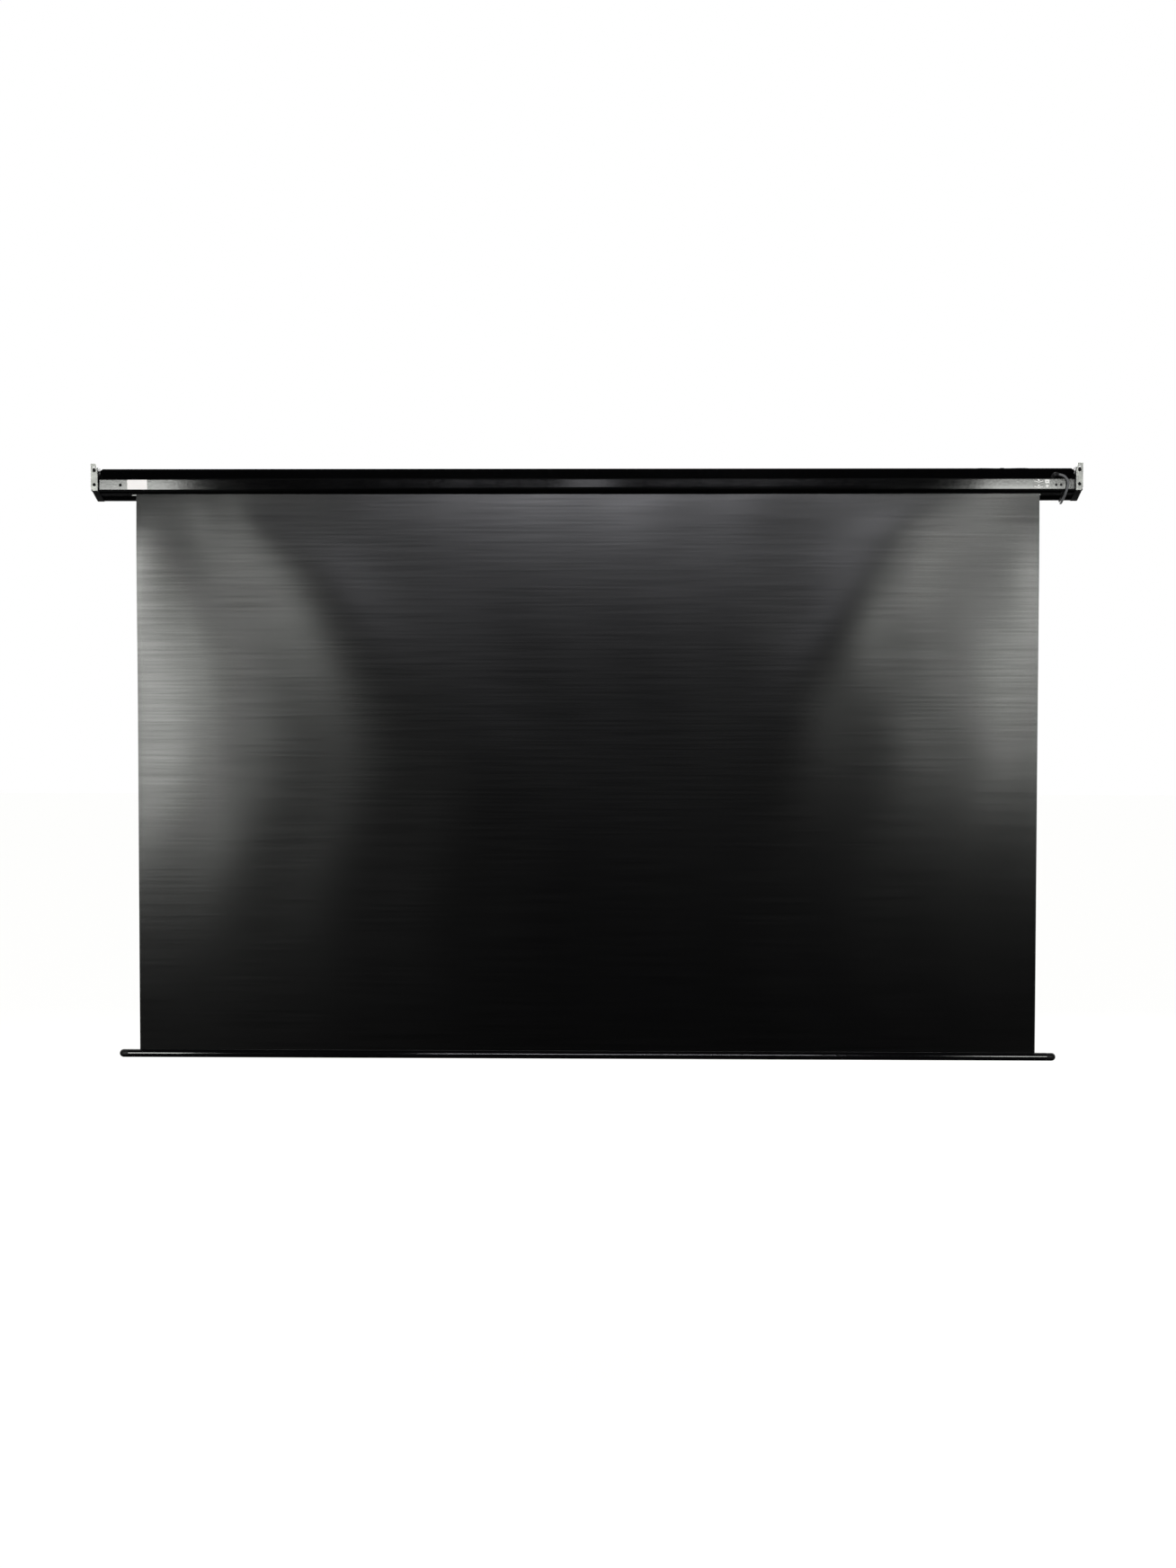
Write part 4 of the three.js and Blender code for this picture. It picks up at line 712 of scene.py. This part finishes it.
finishPiece(reliefRings(), overmould, "casing")


# Fillers that close the slot beside the cloth: wedges that follow the casing's sloping underside, with a step
# over the slot's lips

filler = {"back": 29.65, "front": 39.05, "inset": 0.3, "rise": 3.6, "step": 1.6, "stepRise": 1.4, "edge": 0.5,
          "sharp": 40, "left": (-1221.6, -1145), "right": (1141.6, 1221.6)}


def makeFiller(side):
    piece = addBlock(filler[side], (filler["back"], filler["front"]), (-1, 1))  # its levels follow
    for vertex in piece.data.vertices:
        low = undersideAt(vertex.co.y / mm) + filler["inset"]
        vertex.co.z = (low if vertex.co.z < 0 else low + filler["rise"]) * mm
    for face in piece.data.polygons:
        face.select = face.normal.z > 0.5
    bpy.ops.object.mode_set(mode="EDIT")
    bpy.ops.mesh.select_mode(type="FACE")
    bpy.ops.mesh.inset(thickness=filler["step"] * mm)
    bpy.ops.mesh.extrude_region_move(TRANSFORM_OT_translate={"value": (0, 0, filler["stepRise"] * mm)})
    bpy.ops.mesh.select_mode(type="VERT")
    bpy.ops.object.mode_set(mode="OBJECT")
    easeEdges(piece, filler["edge"] * mm, 2, filler["sharp"])
    piece.name = "slotFiller" + side.title()
    return smooth(outwards(piece), 40)


for side in ("left", "right"):
    finishPiece(makeFiller(side), mouldedAbs, "casing")
print("relief rings and slot fillers placed")


# Bare label and pictograms on the lower band

label = {"left": -1150, "right": -1100, "low": -10.7, "high": 13.2, "face": 10.88, "thick": 0.1, "corner": 1}
marks = {"face": 10.9, "thick": 0.08, "arrowX": 1131.5, "arrowLevels": (10.6, -3.0), "dot": 2.3,
         "chevron": (10.5, 3.0, 1.5), "chevronDrop": 3.4, "chevronLift": 1, "chevronCurve": 1.3,
         "switchX": 1152.7, "switchZ": 7.4,
         "switchBars": ((-5.6, -2.4, -4.6, 4.6), (2.4, 5.6, -4.6, 4.6), (-2.4, 2.4, -4.6, -0.8),
                        (-2.4, 2.4, 0.8, 4.6)),
         "barCorner": 0.25, "diamondDrop": 11.2, "diamond": 4.4}


def flatPlate(left, right, low, high, face, thick, corner):
    plate = addBlock((left, right), (face, face + thick), (low, high))
    bpy.ops.object.mode_set(mode="EDIT")
    bpy.ops.mesh.select_mode(type="EDGE")
    bpy.ops.mesh.select_all(action="DESELECT")
    bpy.ops.object.mode_set(mode="OBJECT")
    for edge in plate.data.edges:
        a, b = (plate.data.vertices[i].co for i in edge.vertices)
        edge.select = abs(a.y - b.y) > thick * mm / 2
    bpy.ops.object.mode_set(mode="EDIT")
    bpy.ops.mesh.bevel(offset=corner * mm, segments=5, affect="EDGES")
    bpy.ops.mesh.select_mode(type="VERT")
    bpy.ops.object.mode_set(mode="OBJECT")
    return plate


labelPiece = flatPlate(label["left"], label["right"], label["low"], label["high"], label["face"],
                       label["thick"], label["corner"])
labelPiece.name = "bareLabel"
finishPiece(labelPiece, labelFilm, "casing")


def flatDisc(x, z, radius, sides):
    middle = marks["face"] + marks["thick"] / 2
    return settle(addShape(bpy.ops.mesh.primitive_cylinder_add, vertices=sides, radius=radius * mm,
                           depth=marks["thick"] * mm, location=(x * mm, middle * mm, z * mm),
                           rotation=(math.radians(90), 0, 0)))


def chevron(x, z, halfWidth, drop, thick):
    obj = addShape(bpy.ops.mesh.primitive_grid_add, x_subdivisions=8, y_subdivisions=1, size=2,
                   rotation=(math.radians(90), 0, 0))
    obj.scale = (halfWidth * mm, thick / 2 * mm, 1)
    obj.location = (x * mm, marks["face"] * mm, z * mm)
    settle(obj)
    for vertex in obj.data.vertices:
        share = abs(vertex.co.x - x * mm) / (halfWidth * mm)
        vertex.co.z -= drop * mm * (1 - share) ** marks["chevronCurve"]
    applyModifier(obj, "SOLIDIFY", thickness=marks["thick"] * mm, offset=-1)
    return outwards(obj)


def makeMarks():
    pieces = []
    halfWidth, drop, thick = marks["chevron"]
    for level in marks["arrowLevels"]:
        pieces.append(flatDisc(marks["arrowX"], level, marks["dot"], 28))
        under = level - marks["chevronDrop"] + marks["chevronLift"]
        pieces.append(chevron(marks["arrowX"], under, halfWidth, drop, thick))
    x, z = marks["switchX"], marks["switchZ"]
    for left, right, low, high in marks["switchBars"]:
        pieces.append(flatPlate(x + left, x + right, z + low, z + high, marks["face"], marks["thick"],
                                marks["barCorner"]))
    pieces.append(flatDisc(x, z - marks["diamondDrop"], marks["diamond"], 4))
    return joinAll(pieces, "printedMarks")


finishPiece(makeMarks(), padInk, "casing")
print("label and marks placed")


# Fabric: hangs from the roller through the slot to the bar

cloth = {
    "centreX": 3, "width": 2270, "top": -1.8, "bottom": -1427.95, "y": 34.35, "thick": 0.45, "travel": 1403,
    # belly: how far it hangs towards the wall, in the middle and how much more at its sides
    "hemWidth": 11, "hemLean": 0.1, "hemRim": (0, 0.45, 0.9), "hemHold": 150, "slotDepth": 14,
    "belly": (0, 0.29), "bellyDepth": 110,
    # crest at the top, its slope and bend on the way down, width of its left and right flank at the top,
    # their growth, height, length
    "folds": (
        (-881, 0.643, 0.000146, 55, 55, 0.356, 4.97, 1460),
        (-987, 0.248, -0.000338, 200, 55, 0.13, 0.96, 209),
        (-898, 0.936, 0.000507, 55, 98, 0.434, 1.61, 648),
        (-1117, -0.088, -0.000246, 61, 106, 0.321, 5.28, 573),
        (900, -0.862, 0.000419, 55, 76, 0.108, 3.72, 1166),
        (849, -0.95, 0.000327, 89, 82, 0, 1.52, 423),
        (1131, -0.105, 0.000224, 116, 55, 0.081, 3.55, 690),
        (-1140, 0.541, -0.000353, 116, 73, 0.042, 1.35, 1500),
        (471, -0.005, 0.000393, 252, 377, 0.097, -1.1, 500),
        (899, -0.628, 0.001081, 85, 83, 0, 1.16, 737),
    ),
    # shares of a fold's length where it is full and where it starts to fade; it starts this far above the top
    "foldFull": 0.35, "foldFade": 0.3, "foldStart": 20,
    "ripple": (0.25, 260, 900), "rippleSway": 1.3,  # depth, length across, length down
    "topBorder": 153, "bottomBorder": 28, "sideBorder": 28,
    "columns": 240, "rows": 150,
}


def clothBulge(x, z):  # towards the audience; folds stand out to the wall side
    depth = cloth["top"] - z
    middle, side = cloth["belly"]
    aside = (x - cloth["centreX"]) / (cloth["width"] / 2)
    bulge = -(middle + side * aside ** 2) * smoothStep(depth / cloth["bellyDepth"])
    for start, slope, bend, left, right, growth, height, length in cloth["folds"]:
        if depth >= length:
            continue
        crest = start + slope * depth + bend * depth ** 2
        wide = (left if x < crest else right) + growth * depth
        rise = smoothStep((depth + cloth["foldStart"]) / (cloth["foldFull"] * length))
        fade = 1 - smoothStep((depth - cloth["foldFade"] * length) / ((1 - cloth["foldFade"]) * length))
        bulge -= height * rise * fade * math.exp(-((x - crest) / wide) ** 2)
    deep, wide, long = cloth["ripple"]
    sway = cloth["rippleSway"] * math.sin(depth / long * math.tau)
    bulge += deep * math.sin(x / wide * math.tau + sway)
    edge = cloth["width"] / 2 - abs(x - cloth["centreX"])
    lean = math.copysign(max(0, 1 - edge / cloth["hemWidth"]) * cloth["hemLean"], cloth["centreX"] - x)
    aboveHem = (z - cloth["bottom"]) / cloth["hemHold"]
    return smoothStep(depth / cloth["slotDepth"]) * smoothStep(aboveHem) * (bulge + lean)


def spread(stops, count):  # even steps, with a line kept on each stop
    total = stops[-1] - stops[0]
    line = []
    for a, b in zip(stops, stops[1:]):
        steps = max(1, round(count * (b - a) / total))
        line += [a + (b - a) * i / steps for i in range(steps)]
    return line + [stops[-1]]


def rimOf(wide, high):  # the steps once round a grid of points
    line = list(range(wide - 1)) + [r * wide + wide - 1 for r in range(high - 1)]
    line += [(high - 1) * wide + c for c in range(wide - 1, 0, -1)]
    line += [r * wide for r in range(high - 1, 0, -1)]
    return zip(line, line[1:] + line[:1])


def giveUv(obj, spots):  # each point's spot on the flat cloth, in metres
    uv = obj.data.uv_layers.new(name="cloth")
    for loop in obj.data.loops:
        uv.data[loop.index].uv = spots[loop.vertex_index]


def makeCloth():
    half, hem = cloth["width"] / 2, cloth["hemWidth"]
    side = half - cloth["sideBorder"]
    inner = spread([-half + hem, -side, side, half - hem], cloth["columns"])
    rim = [hem * share for share in cloth["hemRim"]]
    across = [-half + r for r in rim] + inner + [half - r for r in reversed(rim)]
    pictureTop = cloth["top"] - cloth["topBorder"]
    pictureLow = cloth["bottom"] + cloth["bottomBorder"]
    down = spread([-cloth["top"], -pictureTop, -pictureLow, -cloth["bottom"]], cloth["rows"])
    wide = len(across)
    points, spots = [], []
    for layer in (-1, 1):
        for z in down:
            for u in across:
                x = cloth["centreX"] + u
                y = cloth["y"] + clothBulge(x, -z) + layer * cloth["thick"] / 2
                points.append(Vector((x, y, -z)) * mm)
                spots.append((u * mm, z * mm))
    count = wide * len(down)
    back, border, picture = range(3)
    faces, kinds = [], []
    for r in range(len(down) - 1):
        for c in range(wide - 1):
            at = r * wide + c
            faces.append((at, at + wide, at + wide + 1, at + 1))
            kinds.append(back)
            faces.append((count + at, count + at + 1, count + at + wide + 1, count + at + wide))
            u = (across[c] + across[c + 1]) / 2
            z = -(down[r] + down[r + 1]) / 2
            kinds.append(picture if abs(u) < side and pictureLow < z < pictureTop else border)
    for at, following in rimOf(wide, len(down)):
        faces.append((at, following, count + following, count + at))
        kinds.append(back)
    obj = meshPiece("screenCloth", points, faces)
    for finish in (vinylBack, vinylBorder, vinylPicture):
        obj.data.materials.append(finish)
    obj.data.polygons.foreach_set("material_index", kinds)
    giveUv(obj, spots)
    return smooth(obj, 40)


screenCloth = makeCloth()
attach(screenCloth, "casing")
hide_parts("screen_sheet")
print("cloth hung")


# The rest of the cloth, wound on the roller

wound = {"y": 57.5, "z": -1.5, "outer": 23.375, "pitch": 0.9, "turns": 2.25,
         "stepsPerTurn": 40, "columns": 24}


def makeWoundCloth():
    steps = round(wound["turns"] * wound["stepsPerTurn"])
    points, spots = [], []
    for layer in (0, 1):
        for i in range(steps + 1):
            turn = math.pi - 2 * math.pi * i / wound["stepsPerTurn"]
            radius = wound["outer"] - wound["pitch"] * i / wound["stepsPerTurn"] - layer * cloth["thick"]
            for c in range(wound["columns"] + 1):
                u = cloth["width"] * (c / wound["columns"] - 0.5)
                points.append(Vector((cloth["centreX"] + u, wound["y"] + radius * math.cos(turn),
                                      wound["z"] + radius * math.sin(turn))) * mm)
                spots.append((u * mm, -radius * math.tau * i / wound["stepsPerTurn"] * mm))
    wide = wound["columns"] + 1
    count = wide * (steps + 1)
    faces = []
    for r in range(steps):
        for c in range(wide - 1):
            at = r * wide + c
            faces.append((at, at + 1, at + wide + 1, at + wide))
            faces.append((count + at, count + at + wide, count + at + wide + 1, count + at + 1))
    for at, following in rimOf(wide, steps + 1):
        faces.append((following, at, count + at, count + following))
    obj = meshPiece("woundCloth", points, faces)
    giveUv(obj, spots)
    return smooth(outwards(obj), 40)


woundCloth = finishPiece(makeWoundCloth(), vinylBack, "roller", ("fabric_roll",))
giveUv(dressed["sheet_hem"], [(v.co.x, v.co.z + v.co.y) for v in dressed["sheet_hem"].data.vertices])
print("wound cloth made")


# Motor's own lead, inside the casing, from the gland's nut to the motor head

motorLead = {"radius": 2.5, "roundness": 3, "face": 23.69, "level": 22.3, "start": 5.6, "out": 15, "bend": 10,
             "reach": 19.3}


def motorLeadLine():
    low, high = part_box("motor_lead")
    x = (low.x + high.x) / 2 / mm
    turn = Vector((x, motorLead["face"] + motorLead["out"], motorLead["level"]))
    axis = Vector((x, wound["y"], wound["z"]))
    end = axis + (turn - axis).normalized() * motorLead["reach"]
    start = (x, motorLead["face"] + motorLead["start"], motorLead["level"], 0)
    return [p * mm for p in bentLine([start, (*turn, motorLead["bend"]), (*end, 0)])]


makeTube("motorLeadJacket", motorLeadLine(), motorLead["radius"], motorLead["roundness"], ("motor_lead",))
print("motor's lead laid")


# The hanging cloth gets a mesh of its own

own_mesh(screenCloth)


# Studio: pale floor, white surroundings, soft lamps

studio = {
    "floorZ": -2.05, "floorSize": 60, "floorTone": "#b0b0ae", "floorGlow": 0.6,
    # floor's mirrored strength near the screen and far on the audience side, and where it changes
    "floorMirrored": (0.004, 0.6), "floorFade": (3, 5),
    # pools of light to both sides on the wall side: strength, X and Y where they start and are full
    "poolGlow": 0.4, "poolX": (1.25, 2.2), "poolY": (-0.4, -1.0), "poolEnd": (-2.9, -2.1),
    "ambient": 0.9, "mirrored": 0.004, "mirroredFade": (0.1, 0.4),
    "lampY": -5.5,
    "lamps": {  # X, Z, width, height, radiance, tint
        "leftBox": (-2.41, -0.295, 0.53, 1.75, 14.0, "#fcfef9"),
        "rightBox": (2.07, -0.11, 0.42, 1.37, 13.4, "#fcfef9"),
        "upperBox": (0.09, 1.01, 2.12, 0.42, 18.5, "#f9f9ff"),
        "middleSpot": (-0.1, 0.54, 0.22, 0.16, 2.3, "#f9f9ff"),
    },
    "audienceLamp": (0.8, 5.2, 1.2, 3.0, 2.0, 4.2),  # X, Y, Z, width, height, radiance
    "sideGlow": 0.3, "sideFade": (0.85, 0.98),
}


def sightOf(tree):  # which rays are seen straight, and which in a mirror
    seen = addNode(tree, "ShaderNodeLightPath")
    straight = addNode(tree, "ShaderNodeMath", {
        0: seen.outputs["Is Camera Ray"], 1: seen.outputs["Is Transmission Ray"]}, operation="MAXIMUM")
    return straight.outputs[0], seen.outputs["Is Glossy Ray"]


# The camera sees a white floor that keeps the object's shadow, and looks through it from below. A mirrored
# floor stays dim under the screen, as the dark studio of the photograph leaves the casing's underside black
def makeFloor():
    floor = addShape(bpy.ops.mesh.primitive_plane_add, size=studio["floorSize"],
                     location=(0, 0, studio["floorZ"]))
    floor.name = "studioFloor"
    material, tree = newMaterial("paleFloor")
    straight, inMirror = sightOf(tree)
    matte = addNode(tree, "ShaderNodeBsdfDiffuse", {"Color": linear(studio["floorTone"])})
    glow = addNode(tree, "ShaderNodeMath", {0: straight, 1: studio["floorGlow"]}, operation="MULTIPLY")
    white = addNode(tree, "ShaderNodeEmission", {"Color": (1, 1, 1, 1), "Strength": glow.outputs[0]})
    lit = addNode(tree, "ShaderNodeAddShader", {0: matte.outputs[0], 1: white.outputs[0]})
    spot = addNode(tree, "ShaderNodeSeparateXYZ", {0: addNode(tree, "ShaderNodeTexCoord").outputs["Object"]})
    (near, far), (start, end) = studio["floorMirrored"], studio["floorFade"]
    fade = addNode(tree, "ShaderNodeMapRange", {
        "Value": spot.outputs["Y"], "From Min": start, "From Max": end, "To Min": near, "To Max": far})
    aside = addNode(tree, "ShaderNodeMath", {0: spot.outputs["X"]}, operation="ABSOLUTE")
    pool = studio["poolGlow"]
    for value, (first, full) in ((aside.outputs[0], studio["poolX"]), (spot.outputs["Y"], studio["poolY"]),
                                 (spot.outputs["Y"], studio["poolEnd"])):
        share = addNode(tree, "ShaderNodeMapRange", {"Value": value, "From Min": first, "From Max": full})
        both = addNode(tree, "ShaderNodeMath", {0: pool, 1: share.outputs[0]}, operation="MULTIPLY")
        pool = both.outputs[0]
    mirrored = addNode(tree, "ShaderNodeMath", {0: fade.outputs[0], 1: pool}, operation="ADD")
    dim = addNode(tree, "ShaderNodeEmission", {"Color": (1, 1, 1, 1), "Strength": mirrored.outputs[0]})
    fromAbove = addNode(tree, "ShaderNodeMixShader", {0: inMirror, 1: lit.outputs[0], 2: dim.outputs[0]})
    underside = addNode(tree, "ShaderNodeNewGeometry").outputs["Backfacing"]
    clear = addNode(tree, "ShaderNodeBsdfTransparent")
    floorLook = addNode(tree, "ShaderNodeMixShader", {
        0: underside, 1: fromAbove.outputs[0], 2: clear.outputs[0]})
    addNode(tree, "ShaderNodeOutputMaterial", {"Surface": floorLook.outputs[0]})
    floor.data.materials.append(material)


# Seen straight, or mirrored on the far side, the surroundings are white. Mirrored on the camera's side they
# are dark, with a glow at either end, and to everything else they give plain soft light
def makeWorld():
    world = bpy.data.worlds.new("studioWorld")
    scene.world = world
    world.use_nodes = True
    tree = world.node_tree
    tree.nodes.clear()
    straight, inMirror = sightOf(tree)
    direction = addNode(tree, "ShaderNodeTexCoord").outputs["Generated"]
    split = addNode(tree, "ShaderNodeSeparateXYZ", {0: direction})
    behind = addNode(tree, "ShaderNodeMapRange", {
        "Value": split.outputs["Y"], "From Min": studio["mirroredFade"][0],
        "From Max": studio["mirroredFade"][1], "To Min": studio["mirrored"], "To Max": 1.0})
    aside = addNode(tree, "ShaderNodeMath", {0: split.outputs["X"]}, operation="ABSOLUTE")
    sideways = addNode(tree, "ShaderNodeMapRange", {
        "Value": aside.outputs[0], "From Min": studio["sideFade"][0], "From Max": studio["sideFade"][1],
        "To Min": 0.0, "To Max": studio["sideGlow"]})
    mirrored = addNode(tree, "ShaderNodeMath", {0: behind.outputs[0], 1: sideways.outputs[0]},
                       operation="MAXIMUM")
    soft = addNode(tree, "ShaderNodeBackground", {"Color": (1, 1, 1, 1), "Strength": studio["ambient"]})
    mirror = addNode(tree, "ShaderNodeBackground", {"Color": (1, 1, 1, 1), "Strength": mirrored.outputs[0]})
    white = addNode(tree, "ShaderNodeBackground", {"Color": (1, 1, 1, 1), "Strength": 1.0})
    unseen = addNode(tree, "ShaderNodeMixShader", {0: inMirror, 1: soft.outputs[0], 2: mirror.outputs[0]})
    mixed = addNode(tree, "ShaderNodeMixShader", {0: straight, 1: unseen.outputs[0], 2: white.outputs[0]})
    addNode(tree, "ShaderNodeOutputWorld", {"Surface": mixed.outputs[0]})


def placeLamp(name, place, turn, width, height, radiance, tint="#ffffff"):
    data = bpy.data.lights.new(name, "AREA")
    data.shape = "RECTANGLE"
    data.size, data.size_y = width, height
    data.energy = radiance * math.pi * width * height
    data.color = linear(tint)[:3]
    lamp = bpy.data.objects.new(name, data)
    lamp.location = place
    lamp.rotation_euler = (math.radians(90), 0, math.radians(turn))
    lamp.visible_camera = False
    scene.collection.objects.link(lamp)


makeFloor()
makeWorld()
for lampName, (x, z, *lamp) in studio["lamps"].items():
    placeLamp(lampName, (x, studio["lampY"], z), 0, *lamp)
x, y, z, width, height, radiance = studio["audienceLamp"]
placeLamp("audienceLamp", (x, y, z), 180, width, height, radiance)
print("studio lit")
